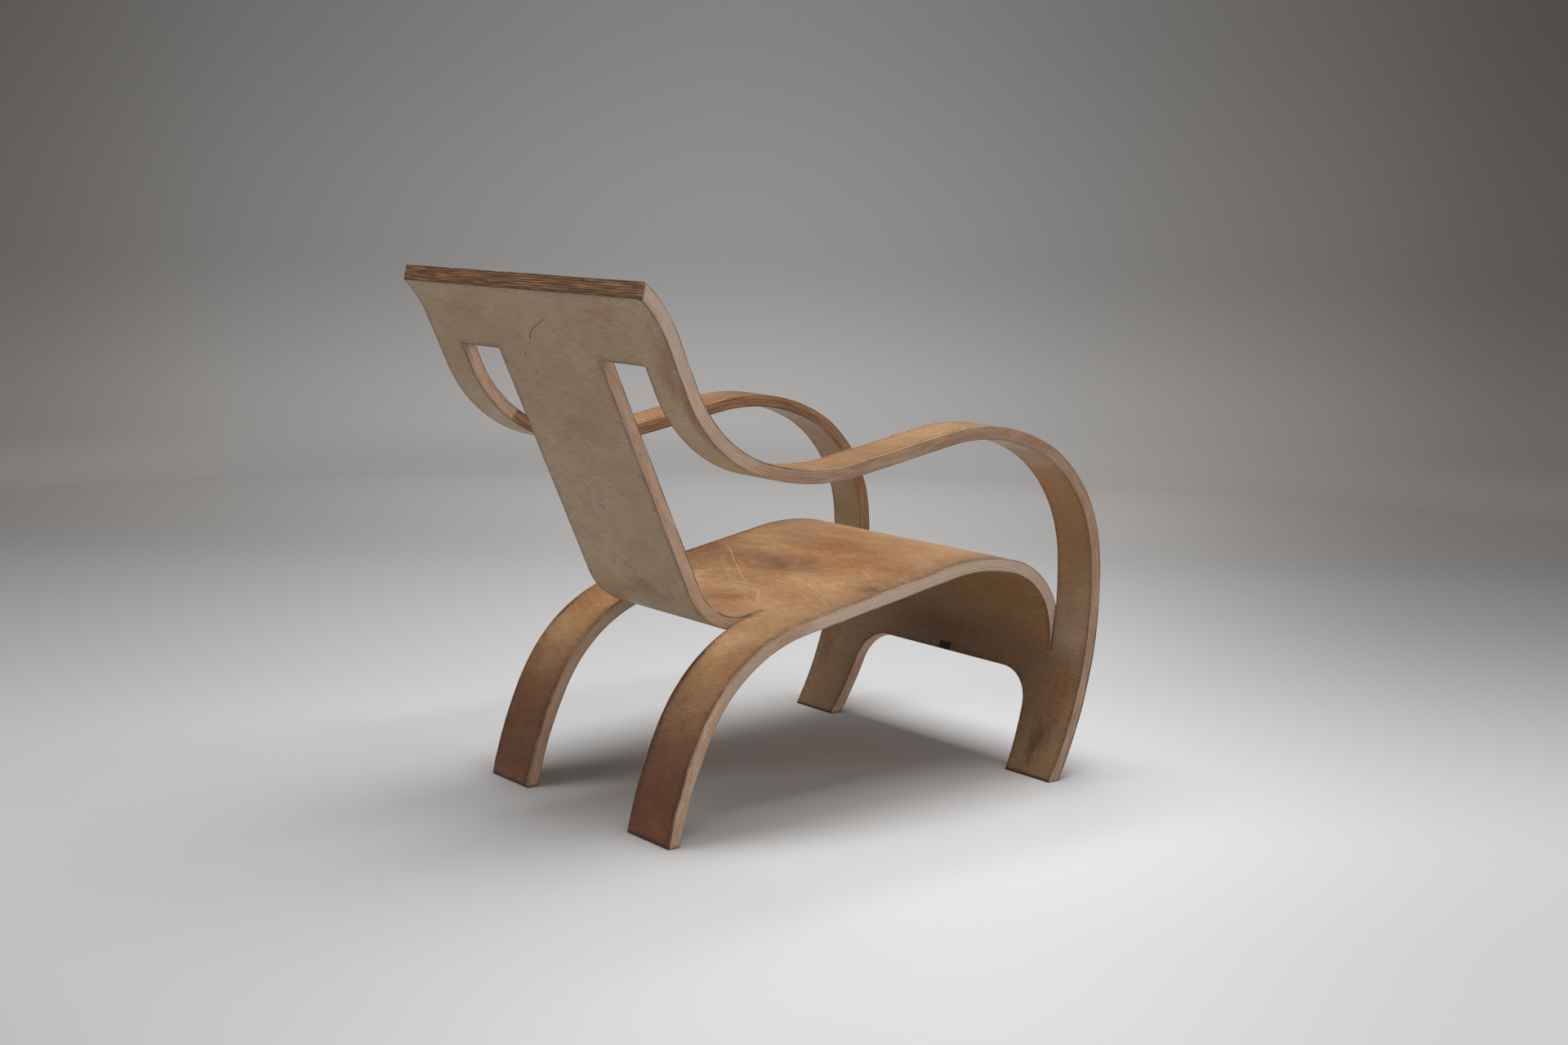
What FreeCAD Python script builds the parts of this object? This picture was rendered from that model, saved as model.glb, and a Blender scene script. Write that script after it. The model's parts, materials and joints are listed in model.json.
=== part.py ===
import FreeCAD, Part
import math
import os
from collections import namedtuple

# Lounge armchair cut and bent from one sheet of moulded plywood.
# +Z is up, the sitter faces -Y, and X = 0 is the plane of symmetry.
# Every surface is straight across the chair, so each strip of the sheet is one side-view path
# swept along X. Paths are laid out as (forward, up) in millimetres on the sheet's under face.
# The under face is also the rear face of the back. All angles are degrees up from level.

# The sheet: veneers glued face to face
VENEER_COUNT = 13
VENEER_THICKNESS = 1.5
SHEET_WIDTH = 605.0

# How the sheet is cut into strips
ARM_WIDTH = 72.0
REAR_LEG_WIDTH = 98.0
SAW_CUT = 2.5

# Where the back's line and the seat's line would meet, under the sitter
CROOK_HEIGHT = 250.0
BACK_SLOPE = 65.3
SEAT_SLOPE = 10.4
CROOK_RADIUS = 100.0

# The back, measured up its own line: the arms leave it above the crook, the windows end above
# the arms' root, and the roll at the top starts above the windows
ARM_ROOT = 407.0
WINDOW_RISE = 37.0
WINDOW_CORNER_RADIUS = 2.0
BAND_STRAIGHT = 42.0
ROLL_RADIUS = 164.0
ROLL_SLOPE = 42.0
TOP_EDGE_SLOPE = 78.0

# The arm, from the back forward and down to the floor: a radius and the slope where it ends
ELBOW_RADIUS = 206.0
ELBOW_SLOPE = -14.8
ARM_SADDLE_RADIUS = 375.0
ARM_RISE_SLOPE = 10.5
ARM_RISE_LENGTH = 169.0
CREST_RADIUS = 305.0
CREST_SLOPE = -24.2
ARM_FRONT_RADIUS = 209.0
ARM_FRONT_SLOPE = -85.0
FRONT_LEG_RADIUS = 569.0

# The seat's front, which turns down and joins the arms in one front panel
NOSE_RADIUS = 302.0
NOSE_SLOPE = -14.5
NOSE_TURN_RADIUS = 111.0

# The rear legs, which leave the seat a little forward of the crook's bend
HEEL_LENGTH = 20.3
REAR_LEG_BEND_RADIUS = 229.0
REAR_LEG_BEND_SLOPE = 63.0
REAR_LEG_RADIUS = 588.0

# The arch cut out of the front panel between the front legs
ARCH_HEIGHT = 146.0
ARCH_HALF_WIDTH = 208.0
ARCH_FLARE = 6.3
ARCH_CORNER_RADIUS = 60.0

# The bare plate glued behind the arch's upper edge, a little off the middle
PLATE_WIDTH = 30.0
PLATE_HEIGHT = 11.5
PLATE_THICKNESS = 1.0
PLATE_GLUE = 0.6
PLATE_ABOVE_ARCH = 1.5
PLATE_OFFSET = -6.0

SHEET_THICKNESS = VENEER_COUNT * VENEER_THICKNESS
HALF_WIDTH = SHEET_WIDTH / 2
SEAT_HALF_WIDTH = HALF_WIDTH - ARM_WIDTH - SAW_CUT
STEM_HALF_WIDTH = SEAT_HALF_WIDTH - REAR_LEG_WIDTH - SAW_CUT

# Lengths that only have to be long enough to cut through
TRIM_TURN = 6.0
TRIM_REACH = 3 * SHEET_THICKNESS
BLOCK_SIZE = 2000.0

# One run of a path: a straight one has radius 0, and an arc turns left where side is +1
Run = namedtuple("Run", "start heading end end_heading centre radius side")


def direction(heading):
    return (math.cos(math.radians(heading)), math.sin(math.radians(heading)))


def left_of(heading):
    along = direction(heading)
    return (-along[1], along[0])


def moved(point, step, distance):
    return (point[0] + step[0] * distance, point[1] + step[1] * distance)


def straight(start, heading, length):
    end = moved(start, direction(heading), length)
    return Run(start, heading, end, heading, None, 0.0, 0)


def bend(start, heading, radius, end_heading):
    side = 1 if end_heading > heading else -1
    centre = moved(start, left_of(heading), side * radius)
    end = moved(centre, left_of(end_heading), -side * radius)
    return Run(start, heading, end, end_heading, centre, radius, side)


def run_length(run):
    if run.side == 0:
        return math.dist(run.start, run.end)
    return run.radius * math.radians(abs(run.end_heading - run.heading))


def part_of_run(run, begin, finish):
    """The stretch of a run between two distances from its start."""
    if run.side == 0:
        start = moved(run.start, direction(run.heading), begin)
        return straight(start, run.heading, finish - begin)
    turn = run.side * math.degrees(1 / run.radius)
    start_heading = run.heading + turn * begin
    start = moved(run.centre, left_of(start_heading), -run.side * run.radius)
    return bend(start, start_heading, run.radius, run.heading + turn * finish)


def part_of_path(runs, begin, finish):
    """The stretch of a path between two distances from its start."""
    chosen = []
    for run in runs:
        length = run_length(run)
        if begin < length and finish > 0:
            chosen.append(part_of_run(run, max(begin, 0.0), min(finish, length)))
        begin -= length
        finish -= length
    return chosen


def offset_point(run, heading, depth):
    """Point of a run at a heading, raised from the under face by depth on the left side."""
    if run.side == 0:
        return moved(run.start, left_of(heading), depth)
    return moved(run.centre, left_of(heading), depth - run.side * run.radius)


def at(point, x):
    """A side-view point as a 3-D point: forward is -Y."""
    return FreeCAD.Vector(x, -point[0], point[1])


def run_edge(run, depth, x):
    if run.side == 0:
        first = moved(run.start, left_of(run.heading), depth)
        last = moved(run.end, left_of(run.heading), depth)
        return Part.LineSegment(at(first, x), at(last, x)).toShape()
    headings = (run.heading, (run.heading + run.end_heading) / 2, run.end_heading)
    points = [at(offset_point(run, heading, depth), x) for heading in headings]
    return Part.Arc(*points).toShape()


def strip(runs, x_low, x_high, depth_low, depth_high):
    """Sweep the layer between two depths of a path across the chair."""
    low_edges = [run_edge(run, depth_low, x_low) for run in runs]
    high_edges = [run_edge(run, depth_high, x_low) for run in runs]
    first, last = runs[0], runs[-1]
    caps = []
    for point, heading in ((first.start, first.heading), (last.end, last.end_heading)):
        inner = moved(point, left_of(heading), depth_low)
        outer = moved(point, left_of(heading), depth_high)
        caps.append(Part.LineSegment(at(inner, x_low), at(outer, x_low)).toShape())
    outline = Part.Wire(Part.__sortEdges__(low_edges + high_edges + caps))
    return Part.Face(outline).extrude(FreeCAD.Vector(x_high - x_low, 0, 0))


def cutter(origin, heading, corners, reach):
    """Prism through the sheet; its corners are (across, along) on the sheet at origin."""
    points = [at(moved(origin, direction(heading), along), x) for x, along in corners]
    normal = at(left_of(heading), 0)
    face = Part.Face(Part.makePolygon(points + points[:1]))
    face.translate(normal * -reach)
    return face.extrude(normal * (2 * reach + SHEET_THICKNESS))


def rounded(prism, origin, heading, radius):
    """Round the prism's corners that lie on the line across the sheet at origin."""
    normal = at(left_of(heading), 0)
    line = at(origin, 0)
    along = at(direction(heading), 0)
    chosen = []
    for edge in prism.Edges:
        first, last = edge.Vertexes[0].Point, edge.Vertexes[-1].Point
        through = (last - first).cross(normal).Length < 1e-6
        if through and abs((first - line).dot(along)) < 1e-6:
            chosen.append(edge)
    return prism.makeFillet(radius, chosen)


def block(origin, heading):
    """Large block on the left of a line through origin, for trimming whole edges."""
    half = BLOCK_SIZE / 2
    back = moved(origin, direction(heading), -half)
    ahead = moved(origin, direction(heading), half)
    corners = [back, ahead, moved(ahead, left_of(heading), half), moved(back, left_of(heading), half)]
    points = [at(corner, -half) for corner in corners]
    face = Part.Face(Part.makePolygon(points + points[:1]))
    return face.extrude(FreeCAD.Vector(BLOCK_SIZE, 0, 0))


# The back's line runs down and forward from the roll at the top to the crook
crook = (0.0, CROOK_HEIGHT)
back_heading = -BACK_SLOPE
up_the_back = direction(180.0 - BACK_SLOPE)
arm_root = moved(crook, up_the_back, ARM_ROOT)
window_top = moved(arm_root, up_the_back, WINDOW_RISE)
roll_foot = moved(window_top, up_the_back, BAND_STRAIGHT)

# The roll is laid from its foot upward, past the top edge, and turned round to run downward
top_edge_heading = -ROLL_SLOPE
roll_centre = moved(roll_foot, left_of(back_heading), -ROLL_RADIUS)
roll_top = moved(roll_centre, left_of(top_edge_heading + TRIM_TURN), ROLL_RADIUS)
top_edge = moved(roll_centre, left_of(top_edge_heading), ROLL_RADIUS)
roll = bend(roll_top, top_edge_heading + TRIM_TURN, ROLL_RADIUS, back_heading)
window_lap = WINDOW_RISE / 2
band_end = moved(window_top, direction(back_heading), window_lap)
band_runs = [roll, straight(roll_foot, back_heading, BAND_STRAIGHT + window_lap)]

# The arm leaves the back's line and ends where the seat's front joins it
elbow_lead = straight(band_end, back_heading, WINDOW_RISE - window_lap)
elbow = bend(arm_root, back_heading, ELBOW_RADIUS, ELBOW_SLOPE)
saddle = bend(elbow.end, ELBOW_SLOPE, ARM_SADDLE_RADIUS, ARM_RISE_SLOPE)
arm_rise = straight(saddle.end, ARM_RISE_SLOPE, ARM_RISE_LENGTH)
crest = bend(arm_rise.end, ARM_RISE_SLOPE, CREST_RADIUS, CREST_SLOPE)
arm_front = bend(crest.end, CREST_SLOPE, ARM_FRONT_RADIUS, ARM_FRONT_SLOPE)
leg_centre = moved(arm_front.end, left_of(ARM_FRONT_SLOPE), -FRONT_LEG_RADIUS)


def seat_front(straight_length):
    """Runs of the seat from the rear legs' root forward, without its last turn."""
    lead = straight(seat_root, SEAT_SLOPE, straight_length)
    nose = bend(lead.end, SEAT_SLOPE, NOSE_RADIUS, NOSE_SLOPE)
    return [lead, nose]


# The stem carries the back's line down to the crook and round into the seat
tangent_length = CROOK_RADIUS * math.tan(math.radians((BACK_SLOPE + SEAT_SLOPE) / 2))
crook_start = moved(crook, up_the_back, tangent_length)
stem_lead = straight(band_end, back_heading, ARM_ROOT + WINDOW_RISE - window_lap - tangent_length)
crook_bend = bend(crook_start, back_heading, CROOK_RADIUS, SEAT_SLOPE)
heel = straight(crook_bend.end, SEAT_SLOPE, HEEL_LENGTH)
seat_root = heel.end
stem_runs = [stem_lead, crook_bend, heel]

# The seat runs forward until its last turn is tangent to the front legs' arc from inside
turn_centre = moved(seat_front(0.0)[-1].end, left_of(NOSE_SLOPE), -NOSE_TURN_RADIUS)
gap = (turn_centre[0] - leg_centre[0], turn_centre[1] - leg_centre[1])
ahead = direction(SEAT_SLOPE)
half_linear = gap[0] * ahead[0] + gap[1] * ahead[1]
rest = gap[0] ** 2 + gap[1] ** 2 - (FRONT_LEG_RADIUS - NOSE_TURN_RADIUS) ** 2
seat_straight = -half_linear + math.sqrt(half_linear ** 2 - rest)
seat_lead, nose = seat_front(seat_straight)
turn_centre = moved(nose.end, left_of(NOSE_SLOPE), -NOSE_TURN_RADIUS)
join_angle = math.degrees(math.atan2(turn_centre[1] - leg_centre[1], turn_centre[0] - leg_centre[0]))
join_heading = join_angle - 90.0
nose_turn = bend(nose.end, NOSE_SLOPE, NOSE_TURN_RADIUS, join_heading)
seat_runs = [seat_lead, nose, nose_turn]

arm_to_join = bend(arm_front.end, ARM_FRONT_SLOPE, FRONT_LEG_RADIUS, join_heading)
arm_runs = [elbow_lead, elbow, saddle, arm_rise, crest, arm_front, arm_to_join]

# The front panel goes on down the same arc and past the floor, where it is trimmed
floor_heading = -90.0 - math.degrees(math.asin(leg_centre[1] / FRONT_LEG_RADIUS))
front_panel = bend(arm_to_join.end, join_heading, FRONT_LEG_RADIUS, floor_heading - TRIM_TURN)

# The rear leg is found from the seat backward, and laid from the floor upward
bend_centre = moved(seat_root, left_of(SEAT_SLOPE), -REAR_LEG_BEND_RADIUS)
knee = moved(bend_centre, left_of(REAR_LEG_BEND_SLOPE), REAR_LEG_BEND_RADIUS)
shin_centre = moved(knee, left_of(REAR_LEG_BEND_SLOPE), -REAR_LEG_RADIUS)
foot_heading = 90.0 - math.degrees(math.asin(-shin_centre[1] / REAR_LEG_RADIUS))
foot = moved(shin_centre, left_of(foot_heading + TRIM_TURN), REAR_LEG_RADIUS)
shin = bend(foot, foot_heading + TRIM_TURN, REAR_LEG_RADIUS, REAR_LEG_BEND_SLOPE)
leg_bend = bend(knee, REAR_LEG_BEND_SLOPE, REAR_LEG_BEND_RADIUS, SEAT_SLOPE)
rear_leg_runs = [shin, leg_bend]

# The arch's upper edge is level with ARCH_HEIGHT on the under face
arch_drop = math.degrees(math.asin((leg_centre[1] - ARCH_HEIGHT) / FRONT_LEG_RADIUS))
arch_heading = -90.0 - arch_drop
arch_edge = moved(leg_centre, left_of(arch_heading), FRONT_LEG_RADIUS)

# The chair's middle, front to rear, becomes Y = 0
rearmost = top_edge[0]
foremost = max(arm_front.centre[0] + ARM_FRONT_RADIUS, leg_centre[0] + FRONT_LEG_RADIUS)
middle = (rearmost + foremost + SHEET_THICKNESS) / 2


def window_cutter(side):
    inner, outer = side * STEM_HALF_WIDTH, side * (HALF_WIDTH - ARM_WIDTH)
    corners = [(inner, 0.0), (outer, 0.0), (outer, 2 * window_lap), (inner, 2 * window_lap)]
    prism = cutter(window_top, back_heading, corners, TRIM_REACH)
    return rounded(prism, window_top, back_heading, WINDOW_CORNER_RADIUS)


def arch_cutter():
    depth = 2 * ARCH_HEIGHT
    widening = math.tan(math.radians(ARCH_FLARE))
    top = ARCH_HALF_WIDTH - ARCH_HEIGHT * widening
    bottom = top + depth * widening
    corners = [(-top, 0.0), (top, 0.0), (bottom, depth), (-bottom, depth)]
    reach = ARCH_HEIGHT
    prism = cutter(arch_edge, arch_heading, corners, reach)
    return rounded(prism, arch_edge, arch_heading, ARCH_CORNER_RADIUS)


windows = [window_cutter(side) for side in (-1, 1)]
arch = arch_cutter()
above_top_edge = block(top_edge, TOP_EDGE_SLOPE)
below_floor = block((0.0, 0.0), 180.0)


def mirrored_strips(runs, x_inner, x_outer, depth_low, depth_high):
    right = strip(runs, -x_outer, -x_inner, depth_low, depth_high)
    left = strip(runs, x_inner, x_outer, depth_low, depth_high)
    return [right, left]


def veneer(depth_low, depth_high):
    """One veneer of the whole chair: the layer between two depths of the sheet."""
    band = strip(band_runs, -HALF_WIDTH, HALF_WIDTH, depth_low, depth_high).cut(windows)
    front = strip([front_panel], -HALF_WIDTH, HALF_WIDTH, depth_low, depth_high).cut(arch)
    stem = strip(stem_runs, -STEM_HALF_WIDTH, STEM_HALF_WIDTH, depth_low, depth_high)
    seat = strip(seat_runs, -SEAT_HALF_WIDTH, SEAT_HALF_WIDTH, depth_low, depth_high)
    arms = mirrored_strips(arm_runs, HALF_WIDTH - ARM_WIDTH, HALF_WIDTH, depth_low, depth_high)
    leg_inner = STEM_HALF_WIDTH + SAW_CUT
    legs = mirrored_strips(rear_leg_runs, leg_inner, leg_inner + REAR_LEG_WIDTH, depth_low, depth_high)
    whole = band.fuse([front, stem, seat] + arms + legs)
    return whole.cut([above_top_edge, below_floor])


def bare_plate():
    """Thin plate bent to the under face, just above the arch."""
    panel_length = FRONT_LEG_RADIUS * math.radians(join_heading - arch_heading)
    plate_end = sum(run_length(run) for run in seat_runs) + panel_length - PLATE_ABOVE_ARCH
    runs = part_of_path(seat_runs + [front_panel], plate_end - PLATE_HEIGHT, plate_end)
    x_low = PLATE_OFFSET - PLATE_WIDTH / 2
    return strip(runs, x_low, x_low + PLATE_WIDTH, -PLATE_GLUE - PLATE_THICKNESS, -PLATE_GLUE)


def veneer_name(number):
    if number == 1:
        return "veneer_01_seat_face"
    if number == VENEER_COUNT:
        return f"veneer_{number:02d}_under_face"
    grain = "long_grain" if number % 2 == 0 else "cross_grain"
    return f"veneer_{number:02d}_{grain}"


def save(name, shape):
    shape.translate(FreeCAD.Vector(0, middle, 0))
    solid = shape.removeSplitter()
    solid.exportStep(os.path.join("parts", name + ".step"))
    box = solid.BoundBox
    print(f"{name}: {len(solid.Solids)} solid, valid {solid.isValid()}, {solid.Volume / 1000:.1f} cm3, "
          f"x {box.XMin:.1f}..{box.XMax:.1f} y {box.YMin:.1f}..{box.YMax:.1f} z {box.ZMin:.1f}..{box.ZMax:.1f}")


os.makedirs("parts", exist_ok=True)
for number in range(1, VENEER_COUNT + 1):
    depth_high = SHEET_THICKNESS - (number - 1) * VENEER_THICKNESS
    save(veneer_name(number), veneer(depth_high - VENEER_THICKNESS, depth_high))
save("bare_plate", bare_plate())
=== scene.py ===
# %% [markdown]
# # A lounge armchair bent from one sheet of plywood
# The whole chair is one flat sheet of plywood. Slots are sawn into it, and then the strips between
# the slots are bent apart: two become the arms, two the rear legs, and the middle is back and seat.
# This lesson builds it the same way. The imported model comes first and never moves. It holds the
# real sizes, and every piece made here stands for one of its nodes.

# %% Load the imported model
import json
import math

import bpy
import numpy as np
from mathutils import Matrix, Vector

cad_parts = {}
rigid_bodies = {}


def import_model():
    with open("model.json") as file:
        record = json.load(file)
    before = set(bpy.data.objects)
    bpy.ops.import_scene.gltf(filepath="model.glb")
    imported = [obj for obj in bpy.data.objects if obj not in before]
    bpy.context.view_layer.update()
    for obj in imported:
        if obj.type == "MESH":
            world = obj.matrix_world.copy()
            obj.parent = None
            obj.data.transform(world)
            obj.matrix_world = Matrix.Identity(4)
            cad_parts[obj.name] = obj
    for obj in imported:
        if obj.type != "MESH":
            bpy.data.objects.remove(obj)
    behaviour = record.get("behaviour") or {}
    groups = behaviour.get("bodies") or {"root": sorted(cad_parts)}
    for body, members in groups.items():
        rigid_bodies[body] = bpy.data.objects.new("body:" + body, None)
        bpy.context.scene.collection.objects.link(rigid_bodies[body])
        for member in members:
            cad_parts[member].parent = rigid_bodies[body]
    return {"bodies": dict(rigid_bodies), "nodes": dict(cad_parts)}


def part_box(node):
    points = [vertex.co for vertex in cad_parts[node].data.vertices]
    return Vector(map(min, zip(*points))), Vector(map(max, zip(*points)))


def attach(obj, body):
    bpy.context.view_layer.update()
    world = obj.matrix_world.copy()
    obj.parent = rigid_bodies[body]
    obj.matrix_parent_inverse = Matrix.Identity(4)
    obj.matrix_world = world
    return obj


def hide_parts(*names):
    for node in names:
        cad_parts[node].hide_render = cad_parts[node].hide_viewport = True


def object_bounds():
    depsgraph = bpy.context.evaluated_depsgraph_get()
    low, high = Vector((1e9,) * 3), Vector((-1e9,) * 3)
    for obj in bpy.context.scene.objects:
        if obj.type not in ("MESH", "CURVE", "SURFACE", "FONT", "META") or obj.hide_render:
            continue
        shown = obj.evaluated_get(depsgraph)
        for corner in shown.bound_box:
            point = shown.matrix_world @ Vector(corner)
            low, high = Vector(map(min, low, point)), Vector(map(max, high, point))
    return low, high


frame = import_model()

cad_low, cad_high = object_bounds()
body = next(iter(frame["bodies"]))
print("packed box", [round(v, 4) for v in cad_low], [round(v, 4) for v in cad_high])

# %% [markdown]
# ## The sizes of the sheet
# Everything is in metres. Thirteen veneers of 1.5 mm are glued with their grain crossed, so the
# sheet can't warp or split. The saw slots are 2.5 mm wide. Slopes are degrees up from level, read
# along the sheet from the top of the back towards the floor in front.

# %% Sizes of the sheet and its strips
MM = 0.001
VENEER_COUNT = 13
VENEER = 1.5 * MM
SHEET = VENEER_COUNT * VENEER
HALF_WIDTH = 302.5 * MM
ARM_WIDTH = 72 * MM
REAR_LEG_WIDTH = 98 * MM
SAW_CUT = 2.5 * MM
ARM_INNER = HALF_WIDTH - ARM_WIDTH
SEAT_HALF = ARM_INNER - SAW_CUT
LEG_INNER = SEAT_HALF - REAR_LEG_WIDTH
STEM_HALF = LEG_INNER - SAW_CUT

CROOK_HEIGHT = 250 * MM
BACK_SLOPE = -65.3
SEAT_SLOPE = 10.4
CROOK_RADIUS = 100 * MM
ARM_ROOT = 407 * MM
WINDOW_RISE = 37 * MM
WINDOW_CORNER = 2 * MM
BAND_STRAIGHT = 42 * MM
ROLL_RADIUS = 164 * MM
ROLL_SLOPE = -42.0
TOP_EDGE_SLOPE = 78.0
NOSE_TURN_RADIUS = 111 * MM
FRONT_LEG_RADIUS = 569 * MM
HEEL = 20.3 * MM
print("sheet", round(SHEET / MM, 1), "mm thick, stem half", round(STEM_HALF / MM, 1), "mm")

# %% [markdown]
# ## A path for each strip
# Seen from the side, each strip is a line of arcs and straight stretches. Such a path is easy to
# follow by distance: the heading turns at a steady rate on an arc and not at all on a straight.
# The path is the sheet's under face, and a point at a depth is that much further to its left.

# %% A side-view path that can be followed by distance


def unit(heading):
    return np.stack([np.cos(heading), np.sin(heading)], -1)


def left(heading):
    return np.stack([-np.sin(heading), np.cos(heading)], -1)


class Path:
    """Runs laid end to end on the under face. Each run keeps where it starts and how it curves."""

    def __init__(self, point, slope, distance=0.0):
        self.pen = (np.asarray(point, float), math.radians(slope), distance)
        self.runs = []

    def straight(self, length):
        self.lay(length, 0.0)

    def bend(self, radius, slope, way=1):
        """An arc to a slope. way is -1 where the path is laid backwards."""
        turn = math.radians(slope) - self.pen[1]
        curvature = way * math.copysign(1 / radius, turn)
        self.lay(turn / curvature, curvature)

    def lay(self, length, curvature):
        point, heading, distance = self.pen
        self.runs.append((min(distance, distance + length), distance, point, heading, curvature))
        self.runs.sort(key=lambda run: run[0])
        end, end_heading = self.at(distance + length)
        self.pen = (end, float(end_heading), distance + length)

    def at(self, distance, depth=0.0):
        """Side-view points (forward, up) and headings at distances along the path."""
        distance = np.asarray(distance, float)
        starts, *columns = zip(*self.runs)
        chosen = np.clip(np.searchsorted(starts, distance, side="right") - 1, 0, len(starts) - 1)
        anchor, point, heading, curvature = (np.array(column)[chosen] for column in columns)
        gone = distance - anchor
        half_turn = curvature * gone / 2
        chord = gone * np.sinc(half_turn / math.pi)
        point = point + chord[..., None] * unit(heading + half_turn)
        heading = heading + 2 * half_turn
        return point + np.asarray(depth)[..., None] * left(heading), heading


def distance_where(path, depth, low, high, beyond):
    """The distance at which a side-view point of the path passes a test, by halving the range."""
    for _ in range(50):
        middle = (low + high) / 2
        if beyond(path.at(middle, depth)[0]):
            high = middle
        else:
            low = middle
    return high


# %% Lay the paths of the stem and seat, the arms and the rear legs
crook = np.array([0.0, CROOK_HEIGHT])
back_line = unit(math.radians(BACK_SLOPE))
roll_foot = crook - back_line * (ARM_ROOT + WINDOW_RISE + BAND_STRAIGHT)
roll_centre = roll_foot - ROLL_RADIUS * left(math.radians(BACK_SLOPE))
top_edge = roll_centre + ROLL_RADIUS * left(math.radians(ROLL_SLOPE))


def path_down_the_back():
    path = Path(top_edge, ROLL_SLOPE)
    path.bend(ROLL_RADIUS, BACK_SLOPE)
    path.straight(BAND_STRAIGHT + WINDOW_RISE)
    return path


arm = path_down_the_back()
window_top = arm.pen[2] - WINDOW_RISE
arm.bend(206 * MM, -14.8)
arm.bend(375 * MM, 10.5)
arm.straight(169 * MM)
arm.bend(305 * MM, -24.2)
arm.bend(209 * MM, -85.0)
leg_centre = arm.pen[0] - FRONT_LEG_RADIUS * left(arm.pen[1])

tangent = CROOK_RADIUS * math.tan(math.radians(SEAT_SLOPE - BACK_SLOPE) / 2)
stem = path_down_the_back()
stem.straight(ARM_ROOT - tangent)
stem.bend(CROOK_RADIUS, SEAT_SLOPE)
stem.straight(HEEL)
seat_root, _, seat_root_distance = stem.pen

# %% [markdown]
# The seat's straight stretch has no size of its own. It is as long as it must be for the seat's
# nose to meet the front legs' arc without a kink. Sliding the nose forward until its last arc
# touches the big arc from inside is one quadratic equation.

# %% Fit the seat between the rear legs' root and the front legs' arc
CREST_RADIUS = 302 * MM
CREST_SLOPE = -14.5
trial = Path(seat_root, SEAT_SLOPE)
trial.bend(CREST_RADIUS, CREST_SLOPE)
turn_centre = trial.pen[0] - NOSE_TURN_RADIUS * left(trial.pen[1])
gap = turn_centre - leg_centre
half_linear = gap @ unit(math.radians(SEAT_SLOPE))
surplus = gap @ gap - (FRONT_LEG_RADIUS - NOSE_TURN_RADIUS) ** 2
seat_straight = -half_linear + math.sqrt(half_linear ** 2 - surplus)
turn_centre = turn_centre + seat_straight * unit(math.radians(SEAT_SLOPE))
outward = turn_centre - leg_centre
join_slope = math.degrees(math.atan2(outward[1], outward[0])) - 90

stem.straight(seat_straight)
stem.bend(CREST_RADIUS, CREST_SLOPE)
stem.bend(NOSE_TURN_RADIUS, join_slope)
join_distance = stem.pen[2]
stem.bend(FRONT_LEG_RADIUS, -130.0)

arm.bend(FRONT_LEG_RADIUS, join_slope)
arm_join_distance = arm.pen[2]

leg = Path(seat_root, SEAT_SLOPE, seat_root_distance)
leg.bend(229 * MM, 63.0, way=-1)
leg.bend(588 * MM, 100.0, way=-1)

middle = cad_high.y + top_edge[0]
print("seat straight", round(seat_straight / MM, 1), "mm, join slope", round(join_slope, 2))
print("strip lengths to the join", round(join_distance / MM, 1), round(arm_join_distance / MM, 1), "mm")

# %% [markdown]
# ## The sheet as a grid
# The bent sheet is a grid of small quads, laid in blocks: the band at the top, the stem, the seat,
# the arms, the rear legs and the front panel with its arch. The blocks share their grid lines
# where they meet, so the merged grid is one surface with clean holes and slots. Each point keeps
# its place on the under face, the way across the sheet to the seat face, and its place on the
# sheet while it was still flat. The grain follows that flat place round every bend, as in real wood.

# %% Grid lines across the sheet
STEP_ALONG = 4 * MM
STEP_ACROSS = 13 * MM
FIRST_STEP = 3 * MM
WINDOW_FIRST_STEP = 6 * MM
LEG_LAST_STEP = 16 * MM
ARCH_HEIGHT = 146 * MM
ARCH_HALF = 208 * MM
ARCH_FLARE = math.radians(6.3)
ARCH_CORNER = 60 * MM


def spread(low, high, step):
    count = max(1, math.ceil(abs(high - low) / step - 1e-9))
    return np.linspace(low, high, count + 1)


def lines_between(low, high):
    """Grid lines between two cut edges, with a narrow first step at each for the worn arris."""
    inner = spread(low + FIRST_STEP, high - FIRST_STEP, STEP_ACROSS)
    return np.concatenate([[low], inner, [high]])


arch_top_half = ARCH_HALF - ARCH_HEIGHT * math.tan(ARCH_FLARE)
corner_turn = math.pi / 2 - ARCH_FLARE
corner_x = arch_top_half - ARCH_CORNER * math.tan(corner_turn / 2)
corner_end_x = corner_x + ARCH_CORNER * math.sin(corner_turn)
corner_end_t = ARCH_CORNER * (1 - math.cos(corner_turn))
corner_lines = corner_x + ARCH_CORNER * np.sin(np.linspace(0, corner_turn, 13))

stem_lines = lines_between(-STEM_HALF, STEM_HALF)
arm_lines = lines_between(ARM_INNER, HALF_WIDTH)
leg_lines = np.concatenate([[LEG_INNER, LEG_INNER + FIRST_STEP], corner_lines,
                            [SEAT_HALF - LEG_LAST_STEP, SEAT_HALF - FIRST_STEP, SEAT_HALF]])
fillet = WINDOW_CORNER * (1 - np.cos(np.linspace(0, math.pi / 2, 5)))
window_inner = spread(STEM_HALF + WINDOW_FIRST_STEP, ARM_INNER - WINDOW_FIRST_STEP, STEP_ACROSS)
window_lines = np.concatenate([STEM_HALF + fillet, window_inner, ARM_INNER - fillet[::-1]])


def mirrored(*groups):
    """The same grid lines on both sides of the middle, in rising order, each once."""
    right = np.concatenate(groups)
    return np.unique(np.round(np.concatenate([-right, right]), 9))


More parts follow.
